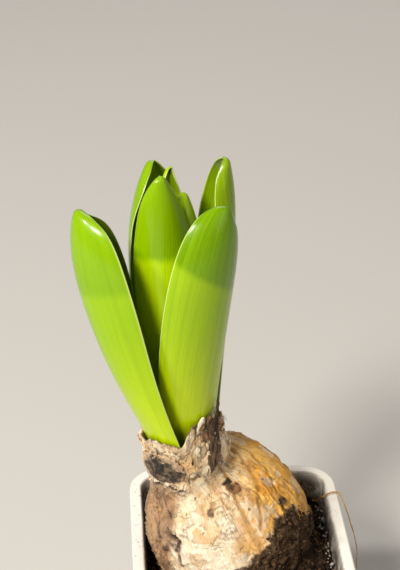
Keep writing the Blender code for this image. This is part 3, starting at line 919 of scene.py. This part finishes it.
for mask, tone, share in (
    # scraps and fibres
    (stepMask(scrapTone, 0.72, 0.80), (0.97, 0.87, 0.70), 0.5),
    (stepMask(scrapTone, 0.22, 0.14), (0.50, 0.27, 0.10), 0.42),
    (stepMask(fibre, 0.52, 0.72), (0.56, 0.27, 0.07), 0.5),
    (stepMask(broad, 0.54, 0.70), (0.60, 0.31, 0.09), 0.45),
    # the brown left side, partly brown tunic and partly painted shade; veins, cracks, and painted shade in
    # the crevices
    (attributeOf("brown"), brownAndShadeSkin["Color"], 0.88),
    (brownAndShadeSkin["Cracks"], (0.045, 0.022, 0.012), attributeOf("brown")),
    (attributeOf("veins"), (0.40, 0.17, 0.025), 0.75),
    # the dark colour in the crevices is painted shade
    (times(attributeOf("crevice"), stepMask(fibre, 0.3, 0.55)), (0.13, 0.06, 0.025), 0.85),
    (paleSkin["Cracks"], (0.10, 0.045, 0.02), 0.9),
    (speckle(700.0, 0.3, 120.0), (0.06, 0.035, 0.02), 0.8),
    # scab, spots, charred neck, holes and cut lines painted near black as painted shade, dirt and the inside
    # of the mouth
    (attributeOf("scab"), scabColour, None),
    (attributeOf("scabHead"), (0.03, 0.018, 0.013), None),
    (attributeOf("dots"), (0.10, 0.05, 0.03), stepMask(rot, 0.30, 0.5)),
    (attributeOf("char"), charColour, stepMask(rot, 0.28, 0.5)),
    (attributeOf("hole"), (0.03, 0.016, 0.01), None),
    (attributeOf("dirt"), dirtColour, stepMask(soilGrain, 0.28, 0.42)),
    (attributeOf("inside"), (0.26, 0.15, 0.07), None),
):
    body = layer(body, mask, tone, share)
feed("Base Color", body)
feed("Roughness", plus(times(soilGrain, 0.25), plus(0.42, times(attributeOf("dirt"), 0.35))))
relief = plus(paleSkin["Height"], times(fibre, 0.35))
bumpInto(plus(relief, times(scrapTone, 0.22)), 0.0019)
finishPiece(bulbPiece, ["bulb"])
print("bulb ready")


# loose papery pieces round the neck

def skinPatch(angle, w, lift):
    return bulbSkin(angle, w) + skinNormals(angle, w) * np.asarray(lift)[:, None]


flakes = {
    # angle from, to, height share from, to, how many, smallest and largest size, rise of the free edge
    "bands": [(-178, -72, 0.91, 0.985, 42, 2.4, 5.2, 0.7), (-74, -44, 0.93, 0.985, 9, 2.0, 3.6, 0.7),
              (-36, 40, 0.88, 0.985, 14, 4.0, 8.0, 1.0), (40, 182, 0.88, 0.985, 26, 4.5, 9.0, 1.2),
              (-182, -150, 0.97, 0.99, 6, 2.6, 4.0, 1.0), (-104, -66, 0.87, 0.92, 7, 3.5, 5.5, 0.9)],
    "wall": 0.25, "across": 10, "along": 9, "seed": 61,
}


def flakeRows():
    dice = np.random.default_rng(flakes["seed"])
    rows = []
    for angleFrom, angleTo, lowShare, highShare, count, small, large, curl in flakes["bands"]:
        for k in range(count):
            angle = between(angleFrom, angleTo, (k + dice.uniform(0.1, 0.9)) / count)
            w = dice.uniform(lowShare, highShare)
            wide = dice.uniform(small, large)
            tall = wide * dice.uniform(0.45, 0.85)
            turn = dice.normal() * 18
            rows.append((angle, w, wide, tall, turn, curl * dice.uniform(0.4, 1.3), len(rows) + 1))
    return rows


def flakeOutline(u, v, seed):
    # a ragged patch: u and v as -1 to 1, its rim pushed in and out
    x = 2 * u - 1
    y = 2 * v - 1
    turn = np.arctan2(y, x)
    ring = xyz(np.cos(turn), np.sin(turn), seed * 3.3)
    rim = 1 + 0.30 * noise(ring * 1.7, seed) + 0.18 * noise(ring * 5, seed + 1)
    square = np.maximum(np.abs(x), np.abs(y))
    circle = np.hypot(x, y)
    pull = np.where(circle > 1e-6, square / np.maximum(circle, 1e-6), 1)
    soften = between(1.0, pull, 0.75)
    return x * rim * soften, y * rim * soften


def makeFlakes(name):
    parts = []
    for angle, w, wide, tall, turn, curl, seed in flakeRows():
        def shapeFlake(u, v):
            x, y = flakeOutline(u, v, seed)
            px, py = turned(x, y, turn)
            px = px * wide / 2
            py = py * tall / 2
            here = angle + np.degrees(px / 16.5)
            high = np.clip(w + py / skinLength, 0, 1.0)
            over = np.clip(w + py / skinLength - 1.0, 0, None) * skinLength
            crumple = noise(xyz(px / 2.2, py / 2.2, seed), 71)
            lift = 0.35 + curl * np.clip(y, 0, 1) ** 2 + 0.4 * curl * x * x + 0.32 * crumple
            points = skinPatch(here, high, lift)
            points[:, 2] += over
            return points
        part, u, v = gridPiece(f"{name}_{seed}", flakes["across"], flakes["along"], shapeFlake)
        shade = 0.5 + 0.5 * noise(np.array([(seed * 5.7, 0, 0)]), 72)
        dark = math.exp(-(turnTo(angle, -60) / 22) ** 4) * float(w > 0.955)
        paintAttribute(part, "shade", np.clip(shade + 0.7 * dark, 0, 1) * np.ones(len(u)))
        paintAttribute(part, "rimNear", np.maximum(np.abs(2 * u - 1), np.abs(2 * v - 1)))
        parts.append(part)
    piece = joinPieces(name, parts)
    thicken(piece, flakes["wall"])
    return piece


neckFlakes = makeFlakes("neck_flakes")
newMaterial("neck paper", 0.7, Subsurface_Weight=0.05, Subsurface_Scale=0.002)
paleSkin = paperSkin((0.97, 0.83, 0.60), (0.78, 0.48, 0.20), 1.6, 0.9)
darkSkin = paperSkin((0.42, 0.24, 0.11), (0.14, 0.08, 0.045), 2.0, 0.9)
body = layer(paleSkin["Color"], stepMask(attributeOf("shade"), 0.72, 0.95), darkSkin["Color"])
rimTone = times(stepMask(attributeOf("rimNear"), 0.72, 1.0), stepMask(grainOf(260.0, 4.0, 0.6), 0.42, 0.6))
feed("Base Color", layer(body, rimTone, (0.10, 0.055, 0.03), 0.75))
bumpInto(paleSkin["Height"], 0.001, 0.8)
finishPiece(neckFlakes, ["neck_scale_left", "neck_scale_front", "neck_scale_back"])


# shoulder flap: a thick old flake with a dark mould patch and a pale rolled lip
shoulder = {"angle": -126.0, "w": 0.908, "wide": 21.0, "tall": 9.8, "turn": 2.0, "round": 19.0, "wall": 0.8}


def shapeShoulder(u, v):
    x = 2 * u - 1
    y = 2 * v - 1
    turn = np.arctan2(y, x)
    ring = xyz(np.cos(turn), np.sin(turn), 0.0)
    rim = 1 + 0.12 * noise(ring * 2, 81) + 0.07 * noise(ring * 6, 82)
    lens = np.sqrt(np.clip(1 - 0.72 * x * x, 0, 1))
    px = x * rim * shoulder["wide"] / 2
    py = y * rim * lens * shoulder["tall"] / 2
    across, upward = turned(px, py, shoulder["turn"])
    here = shoulder["angle"] + np.degrees(across / shoulder["round"])
    high = shoulder["w"] + upward / skinLength
    away = np.hypot(x, y)
    crust = fractal(xyz(px / 1.6, py / 1.6, 0.0), 3, 83)
    lift = 1.0 + 0.8 * smoothStep(0.55, 0.95, away) * smoothStep(-0.2, 0.7, y - 0.5 * x) + 0.35 * crust
    lift = lift - 0.9 * smoothStep(0.5, 1.0, -y)
    shoulderMasks["mould"] = 1 - smoothStep(0.74, 0.94, np.hypot(x, (y + 0.12) / 0.98) + 0.3 * crust)
    return skinPatch(here, high, lift)


shoulderMasks = {}
flap, u, v = gridPiece("shoulder_skin", 60, 30, shapeShoulder)
paintAttribute(flap, "mould", np.clip(shoulderMasks["mould"], 0, 1))
thicken(flap, shoulder["wall"])
newMaterial("old tunic", 0.75)
paleSkin = paperSkin((0.80, 0.62, 0.42), (0.50, 0.31, 0.17), 1.5, 0.8)
fuzz = grainOf(520.0, 8.0, 0.75)
patches = stepMask(grainOf(380.0, 6.0, 0.7), 0.42, 0.56)
mouldColour = blend(patches, (0.17, 0.11, 0.065), (0.012, 0.008, 0.006))
mouldColour = layer(mouldColour, stepMask(fuzz, 0.56, 0.72), (0.30, 0.24, 0.16))
feed("Base Color", layer(paleSkin["Color"], attributeOf("mould"), mouldColour))
bumpInto(fuzz, 0.0016, 0.9)
finishPiece(flap, ["shoulder_flap"])


# dried strip at the right of the neck, fraying into a spike and curled fibres
strip = {
    "marks": [(-63, 0.890, 2.4), (-57, 0.910, 4.8), (-49, 0.938, 6.8), (-43, 0.965, 6.2), (-38, 0.99, 3.6)],
    "wall": 0.4, "spike": 9.0,
}


def shapeStrip(u, v):
    marks = np.array(strip["marks"], float)
    along = np.linspace(0, 1, len(marks))
    row = splineRows(marks, along, np.clip(v / 0.8, 0, 1))
    x = 2 * u - 1
    ragged = 1 + 0.25 * noise(xyz(np.sign(x) * 4, v * 9, 0.0), 91)
    spread = row[:, 2] / 2 * ragged * (1 - 0.9 * smoothStep(0.78, 1.0, v))
    here = row[:, 0] + np.degrees(x * spread / 17.0)
    crease = noise(xyz(x * 2.4, v * 4, 0.0), 92)
    lift = 0.8 + 0.5 * crease + 0.5 * np.abs(x) * smoothStep(0.2, 0.9, v)
    points = skinPatch(here, row[:, 1], lift)
    points[:, 2] += strip["spike"] * np.clip((v - 0.8) / 0.2, 0, 1)
    points[:, 0] += 0.7 * np.sin(v * 9) * smoothStep(0.8, 1.0, v)
    return points


stripPiece, u, v = gridPiece("strip_sheet", 18, 60, shapeStrip)
thicken(stripPiece, strip["wall"])


def fibreObject(name, routes, radii):
    # thin round fibres through lists of points, with a radius for every point
    curve = bpy.data.curves.new(name, "CURVE")
    curve.dimensions = "3D"
    curve.bevel_depth = mm
    curve.bevel_resolution = 0
    curve.use_fill_caps = True
    for route, widths in zip(routes, radii):
        spline = curve.splines.new("POLY")
        spline.points.add(len(route) - 1)
        for point, spotAt, width in zip(spline.points, route, widths):
            point.co = (*(np.array(spotAt) * mm), 1.0)
            point.radius = float(width)
    activate(linkNew(name, curve))
    bpy.ops.object.convert(target="MESH")
    return bpy.context.object


def curlRoutes(starts, seed):
    # fibres that wander from a start in a direction, bending as they go
    dice = np.random.default_rng(seed)
    routes = []
    radii = []
    for start, way, length, bend, width in starts:
        point = np.array(start, float)
        heading = np.array(way, float) / np.linalg.norm(way)
        swirl = dice.normal(size=3)
        steps = 12
        route = [point.copy()]
        for k in range(steps):
            swirl = swirl * 0.8 + 0.5 * dice.normal(size=3)
            heading = heading + bend * np.cross(swirl, heading) * 0.25
            heading /= np.linalg.norm(heading)
            point = point + heading * length / steps
            route.append(point.copy())
        routes.append(route)
        radii.append(width * (1 - 0.65 * np.linspace(0, 1, steps + 1)))
    return routes, radii


top = skinPatch(np.array([-37.0]), np.array([0.99]), np.array([0.9]))[0]
starts = []
dice = np.random.default_rng(5)
for k in range(16):
    start = top + np.array((dice.uniform(-1.6, 1.8), dice.uniform(-0.8, 0.8), dice.uniform(-3.5, 5.5)))
    way = np.array((dice.uniform(-0.1, 1.0), dice.uniform(-0.6, 0.4), dice.uniform(0.0, 1.2)))
    starts.append((start, way, dice.uniform(3.0, 6.5), dice.uniform(0.8, 1.8), dice.uniform(0.10, 0.2)))
for k in range(14):
    angle = dice.uniform(-60, -34)
    w = dice.uniform(0.88, 0.98)
    start = skinPatch(np.array([angle]), np.array([w]), np.array([1.3]))[0]
    way = np.array((dice.uniform(-0.4, 0.5), dice.uniform(-0.7, -0.1), dice.uniform(-0.6, 1.0)))
    starts.append((start, way, dice.uniform(2.5, 5.0), dice.uniform(0.8, 1.6), dice.uniform(0.08, 0.15)))
fibres = fibreObject("strip_fibres", *curlRoutes(starts, 6))
stripPiece = joinPieces("dried_strip", [stripPiece, fibres])
newMaterial("brown fibre", 0.75)
streaks = noiseOf(stretched(objectPlace(), (900.0, 900.0, 160.0)), 1.0, 5.0, 0.7)
feed("Base Color", blend(stepMask(streaks, 0.36, 0.66), (0.022, 0.013, 0.008), (0.20, 0.11, 0.05)))
bumpInto(streaks, 0.0012, 0.9)
finishPiece(stripPiece, ["dried_tunic_strip"])


# pale pointed scale tip against the right leaf
paleTip = {"angle": -70.0, "low": 131.0, "high": 139.0, "wide": 4.4, "wall": 0.5}


def shapePaleTip(u, v):
    x = 2 * u - 1
    width = paleTip["wide"] / 2 * np.sqrt(np.clip(1 - v ** 2.4, 0.0, 1)) * (0.85 + 0.15 * v)
    here = paleTip["angle"] + 3.0 * v + np.degrees(x * width / 17.5)
    z = between(paleTip["low"], paleTip["high"], v)
    far = leafReach(here, z) + 0.95 + 0.5 * (1 - x * x) + 0.15 * v
    out = onCircle(here)
    middle = bulb["mouthMiddle"]
    return xyz(middle[0] + far * out[:, 0], middle[1] + far * out[:, 1], z)


tipPiece, u, v = gridPiece("pale_tip", 10, 22, shapePaleTip)
sealSheet(tipPiece)
thicken(tipPiece, paleTip["wall"])
seal(tipPiece)
newMaterial("pale scale", 0.5, Subsurface_Weight=0.15, Subsurface_Scale=0.002)
skin = paperSkin((0.90, 0.84, 0.66), (0.78, 0.66, 0.42), 2.0, 0.2)
feed("Base Color", skin["Color"])
bumpInto(skin["Height"], 0.0005, 0.5)
finishPiece(tipPiece, ["pale_scale_tip"])
print("neck ready")


# pot

pot = {
    "foot": 60.0, "rim": 80.0, "height": 75.0, "wallTop": 72.46, "rimDepth": 8.0, "rimBand": 4.5,
    "ledge": 0.8, "floor": 2.2, "floorWide": 57.0, "corner": 11.2, "drain": 3.2, "drainAt": 17.0,
    "rounding": 0.9,
}


def selectFaces(mesh, test):
    bpy.ops.object.mode_set(mode="OBJECT")
    for polygon in mesh.polygons:
        polygon.select = bool(test(polygon))
    for edge in mesh.edges:
        edge.select = False
    for vertex in mesh.vertices:
        vertex.select = False
    for polygon in mesh.polygons:
        if polygon.select:
            for index in polygon.vertices:
                mesh.vertices[index].select = True
    bpy.ops.object.mode_set(mode="EDIT")


def topFace(mesh, height):
    selectFaces(mesh, lambda p: p.normal.z > 0.9 and abs(p.center.z - height * mm) < 0.0002)


def extrudeUp(height):
    bpy.ops.mesh.extrude_region_move(TRANSFORM_OT_translate={"value": (0, 0, height * mm)})


def widen(share):
    bpy.ops.transform.resize(value=(share, share, 1.0))


def makePot():
    low = pot["height"] - pot["rimDepth"]
    deselectAll()
    bpy.ops.mesh.primitive_cube_add(size=1.0, location=(0, 0, low / 2 * mm))
    piece = nameIt(bpy.context.object, "pot_shell")
    piece.scale = (pot["wallTop"] * mm, pot["wallTop"] * mm, low * mm)
    bpy.ops.object.transform_apply(location=True, rotation=True, scale=True)
    mesh = piece.data
    bpy.ops.object.mode_set(mode="EDIT")
    bpy.ops.mesh.select_mode(type="EDGE")
    bpy.ops.mesh.select_all(action="DESELECT")
    bpy.ops.object.mode_set(mode="OBJECT")
    for edge in mesh.edges:
        a, b = (mesh.vertices[i].co for i in edge.vertices)
        edge.select = abs(a.z - b.z) > 0.01
    bpy.ops.object.mode_set(mode="EDIT")
    bpy.ops.mesh.bevel(offset=pot["corner"] * mm, segments=14, affect="EDGES")
    bpy.ops.mesh.select_mode(type="FACE")
    selectFaces(mesh, lambda p: p.normal.z < -0.9)
    widen(pot["foot"] / pot["wallTop"])
    # rim: a ledge out, up, a flat band in, then the hollow down
    topFace(mesh, low)
    bpy.ops.mesh.extrude_region_move()
    ledge = pot["rim"] - pot["ledge"]
    widen(ledge / pot["wallTop"])
    extrudeUp(pot["rimDepth"])
    widen(pot["rim"] / ledge)
    bpy.ops.mesh.inset(thickness=pot["rimBand"] * mm, depth=0)
    extrudeUp(pot["floor"] - pot["height"])
    widen(pot["floorWide"] / (pot["rim"] - 2 * pot["rimBand"]))
    bpy.ops.object.mode_set(mode="OBJECT")
    cutters = []
    for x, y in ((1, 1), (-1, 1), (-1, -1), (1, -1)):
        deselectAll()
        spot = (x * pot["drainAt"] * mm, y * pot["drainAt"] * mm, 0)
        bpy.ops.mesh.primitive_cylinder_add(vertices=40, radius=pot["drain"] * mm, location=spot,
                                            depth=4 * pot["floor"] * mm)
        cutters.append(bpy.context.object)
    cutter = joinPieces("drain_cutter", cutters)
    addModifier(piece, "drains", "BOOLEAN", operation="DIFFERENCE", solver="EXACT", object=cutter)
    addModifier(piece, "rounding", "BEVEL", width=pot["rounding"] * mm, segments=4, limit_method="ANGLE",
                angle_limit=math.radians(40), harden_normals=False)
    applyAll(piece)
    bpy.data.objects.remove(cutter)
    return piece


potPiece = makePot()
activate(potPiece)
bpy.ops.object.shade_smooth_by_angle(angle=math.radians(35))
places = np.array([vertex.co[:2] for vertex in potPiece.data.vertices])
facing = np.array([vertex.normal[:2] for vertex in potPiece.data.vertices])
facing = (places * facing).sum(1) / np.maximum(np.linalg.norm(places, axis=1), 1e-6)
paintAttribute(potPiece, "insideWall", smoothStep(0.1, 0.7, -facing))
newMaterial("pot plastic", 0.38, IOR=1.46, Subsurface_Weight=0.05, Subsurface_Scale=0.001)
x, y, z = put("ShaderNodeSeparateXYZ", {0: objectPlace()}).outputs
insideMask = attributeOf("insideWall")
tone = grainOf(45.0, 4.0, 0.6)
smear = grainOf(160.0, 6.0, 0.65, 0.5)
# inside the wall: smeared dirt, plus painted shade that darkens it downwards below the rim
depth = stepMask(minus(0.0755, z), 0.0, 0.006)
dirtAndShade = calc("MULTIPLY_ADD", stepMask(smear, 0.35, 0.6), 0.55, times(depth, 0.45))
dirtAndShade = times(insideMask, dirtAndShade, clamp=True)
mould = times(insideMask, stepMask(grainOf(330.0, 6.0, 0.7), 0.56, 0.68))
rimGate = stepMask(z, 0.066, 0.074)
specks = times(speckle(520.0, 0.5, 130.0), times(stepMask(times(x, -1.0), 0.030, 0.037), rimGate))
specks = calc("MAXIMUM", specks, times(speckle(900.0, 0.3, 90.0), rimGate), clamp=True)
plastic = blend(tone, (0.80, 0.755, 0.69), (0.72, 0.67, 0.60))
# dark dirt and painted shade on the inside wall
plastic = layer(plastic, dirtAndShade, (0.10, 0.075, 0.055))
plastic = layer(plastic, mould, (0.50, 0.48, 0.45), 0.8)
feed("Base Color", layer(plastic, specks, (0.05, 0.03, 0.02), 0.85))
feed("Roughness", calc("MULTIPLY_ADD", dirtAndShade, 0.4, calc("MULTIPLY_ADD", tone, 0.12, 0.3)))
bumpInto(plus(tone, times(smear, dirtAndShade)), 0.0006, 0.35)
finishPiece(potPiece, ["pot"], smooth=False)
print("pot ready")


# soil

soil = {
    "level": 67.0, "heap": 11.5, "heapSide": -28, "heapSpread": 50, "heapFar": 27, "heapWide": 7,
    "slump": 5.0, "bottom": 2.5, "halfTop": 34.0, "halfBottom": 28.0,
    "cornerTop": 9.0, "cornerBottom": 7.2, "around": 360, "rows": 130,
}


def soilHeight(x, y):
    dx = x - bulbCentre[0]
    dy = y - bulbCentre[1]
    far = np.hypot(dx, dy)
    side = bell(compassOf(dx, dy) - soil["heapSide"], soil["heapSpread"])
    heap = soil["heap"] * side * bell(far - soil["heapFar"], soil["heapWide"])
    slump = soil["slump"] * np.clip((-22 - x) / 10, 0, 1)
    ripple = 0.8 * np.sin(0.31 * x + 1.1) * np.sin(0.27 * y + 0.4)
    return soil["level"] + heap - slump + ripple


def roundSquare(turn, half, corner):
    # a point of a square with round corners in the direction of turn (radians)
    c = np.cos(turn)
    s = np.sin(turn)
    flat = half / np.maximum(np.abs(c), np.abs(s))
    a = np.abs(np.stack([c, s], 1))
    mid = half - corner
    dot = mid * (a[:, 0] + a[:, 1])
    inside = np.clip(dot ** 2 - 2 * mid ** 2 + corner ** 2, 0, None)
    curved = dot + np.sqrt(inside)
    atCorner = (flat * a[:, 0] > mid) & (flat * a[:, 1] > mid)
    far = np.where(atCorner, curved, flat)
    return far * c, far * s


def soilTop(x, y):
    base = soilHeight(x, y)
    flat = xyz(x, y, 0.0)
    lumps = fractal(flat / 5.5, 3, 101)
    clods = fractal(flat / 2.1, 4, 102, 0.6)
    pits = 1 - np.abs(noise(flat / 3.2, 103))
    return base + 0.8 * lumps + 1.0 * clods - 0.9 * smoothStep(0.75, 1, pits)


def shapeSoil(u, v):
    turn = 2 * math.pi * u
    bottomX, bottomY = roundSquare(turn, soil["halfBottom"], soil["cornerBottom"])
    topX, topY = roundSquare(turn, soil["halfTop"], soil["cornerTop"])
    edgeHigh = soilTop(topX, topY) - 0.8
    floorShare = np.clip(v / 0.04, 0, 1)
    wallShare = np.clip((v - 0.04) / 0.08, 0, 1)
    topShare = np.clip((v - 0.12) / 0.88, 0, 1)
    x = np.where(v <= 0.04, bottomX * floorShare, between(bottomX, topX, wallShare))
    y = np.where(v <= 0.04, bottomY * floorShare, between(bottomY, topY, wallShare))
    z = between(soil["bottom"], edgeHigh, wallShare)
    shrink = 1 - topShare
    tx = topX * shrink
    ty = topY * shrink
    tz = soilTop(tx, ty) - 0.8 * smoothStep(0.06, 0, topShare)
    onTop = v > 0.12
    return np.where(onTop[:, None], xyz(tx, ty, tz), xyz(x, y, z))


soilPiece, u, v = gridPiece("soil_bed", soil["around"], soil["rows"], shapeSoil)
seal(soilPiece)

crumbs = {"count": 620, "bulbCount": 520, "bulbTries": 9000, "wallCount": 70, "small": 0.35, "large": 1.25}


def scatterCrumbs(name, centres, sizes, seed):
    # one rough crumb modelled once and copied, each copy turned and squashed its own way
    deselectAll()
    bpy.ops.mesh.primitive_ico_sphere_add(subdivisions=1, radius=1.0, location=(0, 0, 0))
    crumb = bpy.context.object
    shape = np.array([vertex.co for vertex in crumb.data.vertices])
    sides = np.array([polygon.vertices[:] for polygon in crumb.data.polygons])
    bpy.data.objects.remove(crumb)
    dice = np.random.default_rng(seed)
    allPoints = []
    allSides = []
    for k, (centre, size) in enumerate(zip(centres, sizes)):
        points = shape * dice.uniform(0.65, 1.25, size=(len(shape), 1)) * dice.uniform(0.55, 1.3, size=3)
        turn = np.array(Matrix.Rotation(dice.uniform(0, 6.28), 3, dice.normal(size=3).tolist()))
        allPoints.append(points @ turn.T * size + centre)
        allSides.append(sides + k * len(shape))
    mesh = bpy.data.meshes.new(name)
    mesh.from_pydata((np.concatenate(allPoints) * mm).tolist(), [], np.concatenate(allSides).tolist())
    mesh.update()
    return linkNew(name, mesh)


def soilSpots(count, seed):
    # random places on the open soil, outside the bulb
    dice = np.random.default_rng(seed)
    spots = []
    while len(spots) < count:
        x, y = dice.uniform(-33.5, 33.5, size=2)
        if math.hypot(x - bulbCentre[0], y - bulbCentre[1]) < 27.5:
            continue
        if math.hypot(max(abs(x) - 24.5, 0), max(abs(y) - 24.5, 0)) > 9.0:
            continue
        spots.append((x, y))
    spots = np.array(spots)
    return spots, soilTop(spots[:, 0], spots[:, 1])


spots, heights = soilSpots(crumbs["count"], 201)
dice = np.random.default_rng(202)
sizes = crumbs["small"] + (crumbs["large"] - crumbs["small"]) * dice.random(len(spots)) ** 2.2
centres = np.column_stack([spots, heights + 0.25 * sizes])
soilCrumbs = scatterCrumbs("soil_crumbs", centres, sizes, 203)


soilFibre = {
    # how many, and the least and most of length, bend and radius
    "count": 230, "seed": 211, "spans": [(2.5, 8.0), (0.5, 1.6), (0.07, 0.19)],
}


def soilFibres(count, seed):
    spots, heights = soilSpots(count, seed)
    dice = np.random.default_rng(seed + 1)
    starts = []
    for (x, y), z in zip(spots, heights):
        way = np.array((*dice.normal(size=2), dice.uniform(-0.1, 0.35)))
        starts.append(((x, y, z + 0.5), way, *(dice.uniform(*span) for span in soilFibre["spans"])))
    routes, radii = curlRoutes(starts, seed + 2)
    kept = []
    for route in routes:
        laid = []
        for point in route:
            x, y = np.clip(point[:2], -33.6, 33.6)
            ground = soilTop(np.array([x]), np.array([y]))[0]
            laid.append((x, y, min(max(point[2], ground + 0.1), ground + 1.6)))
        kept.append(laid)
    return fibreObject("soil_fibres", kept, radii)


fibrePiece = soilFibres(soilFibre["count"], soilFibre["seed"])
for part, kind in ((soilPiece, 0.0), (soilCrumbs, 0.5), (fibrePiece, 1.0)):
    paintAttribute(part, "kind", np.full(len(part.data.vertices), kind))
soilPiece = joinPieces("soil_bed", [soilPiece, soilCrumbs, fibrePiece])
newMaterial("potting soil", 0.95, IOR=1.3)
coarse = grainOf(260.0, 6.0, 0.7)
fine = grainOf(1300.0, 5.0, 0.7)
kind = attributeOf("kind")
crumbTone = blend(stepMask(grainOf(420.0, 2.0), 0.42, 0.6), (0.02, 0.011, 0.007), (0.14, 0.07, 0.033))
fibreTone = blend(grainOf(180.0, 2.0), (0.10, 0.05, 0.02), (0.50, 0.33, 0.17))
body = blend(stepMask(coarse, 0.35, 0.68), (0.012, 0.006, 0.004), (0.075, 0.036, 0.018))
body = layer(body, stepMask(fine, 0.55, 0.75), (0.16, 0.085, 0.04))
body = layer(body, stepMask(kind, 0.3, 0.5), crumbTone)
feed("Base Color", layer(body, stepMask(kind, 0.7, 0.9), fibreTone))
bumpInto(plus(coarse, fine), 0.0015, 0.9)
finishPiece(soilPiece, ["soil"])


# pale bits of mould and grit along the wall at the right and back
def wallBits():
    dice = np.random.default_rng(301)
    centres = []
    sizes = []
    for k in range(crumbs["wallCount"]):
        along = dice.random()
        inset = dice.uniform(0.3, 2.2)
        if along < 0.62:
            x, y = 34.0 - inset, dice.uniform(-30, 26)
        else:
            x, y = dice.uniform(4, 27), 34.0 - inset
        ground = soilTop(np.array([x]), np.array([y]))[0]
        size = 0.3 + 0.75 * dice.random() ** 1.8
        centres.append((x, y, ground + dice.uniform(0.1, 1.8)))
        sizes.append(size)
    return scatterCrumbs("wall_mould", np.array(centres), np.array(sizes), 302)


bits = wallBits()
newMaterial("pale mould", 0.9)
feed("Base Color", blend(grainOf(500.0, 4.0, 0.6), (0.20, 0.17, 0.15), (0.62, 0.60, 0.57)))
finishPiece(bits)


# crumbs of soil stuck to the lower right of the bulb
def bulbCrumbs():
    dice = np.random.default_rng(401)
    tries = crumbs["bulbTries"]
    angles = dice.uniform(-110, 60, tries)
    shares = dice.uniform(0.28, 0.68, tries)
    points = skinPatch(angles, shares, dice.uniform(0.2, 1.1, tries))
    below = dirtTop(points) + 1.5 * dice.normal(size=tries) - points[:, 2]
    ground = soilHeight(points[:, 0], points[:, 1])
    good = (below > 0) & (points[:, 2] > ground - 1) & (dirtTop(points) > 76)
    centres = points[good][:crumbs["bulbCount"]]
    sizes = 0.25 + 0.75 * dice.random(len(centres)) ** 2
    return scatterCrumbs("bulb_crumbs", centres, sizes, 402)


stuck = bulbCrumbs()
newMaterial("stuck soil", 0.95, IOR=1.3)
clods = stepMask(grainOf(420.0, 5.0, 0.7), 0.4, 0.64)
feed("Base Color", blend(clods, (0.018, 0.010, 0.006), (0.13, 0.07, 0.035)))
bumpInto(grainOf(1200.0, 4.0, 0.7), 0.001, 0.8)
finishPiece(stuck)
print("soil ready")


# dead root over the rim

root = {
    "route": [(31.0, 25.5, 68.6), (32.6, 22.5, 71.0), (34.8, 19.6, 76.0), (37.5, 20.3, 76.6),
              (40.0, 20.2, 76.2), (41.6, 18.8, 73.6), (43.4, 18.0, 68.6), (46.4, 18.0, 59.6),
              (49.0, 18.0, 49.6), (49.8, 18.6, 39.0)],
    "radius": 0.3, "steps": 110,
}


def makeRoot():
    route = np.array(root["route"])
    stations = np.concatenate([[0], np.cumsum(np.linalg.norm(np.diff(route, axis=0), axis=1))])
    at = np.linspace(0, stations[-1], root["steps"])
    points = splineRows(route, stations, at)
    wander = xyz(*(noise(xyz(at / 5, k, 0.0), 501 + k) for k in range(3)))
    points = points + 0.16 * wander * smoothStep(0, 6, at)[:, None]
    width = root["radius"] * (1 + 0.22 * noise(xyz(at / 2, 0.0, 0.0), 511) - 0.25 * at / at[-1])
    return fibreObject("dead_root", [points], [width])


rootPiece = makeRoot()
newMaterial("dry root", 0.5)
stained = stepMask(grainOf(220.0, 4.0, 0.6), 0.35, 0.65)
feed("Base Color", blend(stained, (0.62, 0.33, 0.05), (0.36, 0.16, 0.03)))
bumpInto(grainOf(900.0, 3.0), 0.0004, 0.6)
finishPiece(rootPiece, ["dry_root"])


# camera, light and floor

cameraSet = {"lens": 88.42, "place": (-52.0, -395.3, 418.0), "yaw": 4.96, "pitch": 30.73, "roll": 1.82}


def addCamera():
    yaw, pitch, roll = (math.radians(cameraSet[key]) for key in ("yaw", "pitch", "roll"))
    forward = Vector((math.sin(yaw) * math.cos(pitch), math.cos(yaw) * math.cos(pitch), -math.sin(pitch)))
    right = Vector((math.cos(yaw), -math.sin(yaw), 0))
    up = right.cross(forward)
    rightTurned = math.cos(roll) * right + math.sin(roll) * up
    upTurned = math.cos(roll) * up - math.sin(roll) * right
    data = bpy.data.cameras.new("camera")
    data.lens = cameraSet["lens"]
    data.sensor_width = 36.0
    data.clip_start = 0.01
    camera = linkNew("camera", data)
    turn = Matrix((rightTurned, upTurned, -forward)).transposed().to_4x4()
    camera.matrix_world = Matrix.Translation(Vector(cameraSet["place"]) * mm) @ turn
    bpy.context.scene.camera = camera


lights = {
    "key": {"place": (-0.72, -0.92, 1.25), "size": 0.32, "power": 28.0, "colour": (1.0, 0.95, 0.87)},
    "spark": {"place": (-1.02, -0.5, 1.25), "size": 0.16, "power": 14.0, "colour": (1.0, 0.97, 0.92)},
    "side": {"place": (1.1, -0.5, 0.7), "size": 0.9, "power": 2.8, "colour": (1.0, 0.90, 0.78)},
    "back": {"place": (0.3, 1.2, 1.1), "size": 0.9, "power": 7.0, "colour": (1.0, 0.96, 0.92)},
}


def addLights():
    target = Vector((0, 0, 0.11))
    for name, light in lights.items():
        bpy.ops.object.light_add(type="AREA", location=light["place"])
        lamp = bpy.context.object
        lamp.name = name + "Light"
        lamp.data.shape = "SQUARE"
        lamp.data.size = light["size"]
        lamp.data.energy = light["power"]
        lamp.data.color = light["colour"]
        lamp.rotation_euler = (target - lamp.location).to_track_quat("-Z", "Y").to_euler()
    world = bpy.data.worlds.new("studio")
    world.use_nodes = True
    world.node_tree.nodes["Background"].inputs["Color"].default_value = (1.0, 0.97, 0.93, 1.0)
    world.node_tree.nodes["Background"].inputs["Strength"].default_value = 0.15
    bpy.context.scene.world = world
    bpy.context.scene.view_settings.view_transform = "Standard"


def addFloor():
    deselectAll()
    bpy.ops.mesh.primitive_plane_add(size=6.0, location=(0, 0, -0.0003))
    floor = bpy.context.object
    floor.name = "floor"
    newMaterial("floor", 0.8, Base_Color=(0.52, 0.505, 0.48))
    floor.data.materials.append(work["material"])


addCamera()
addLights()
addFloor()
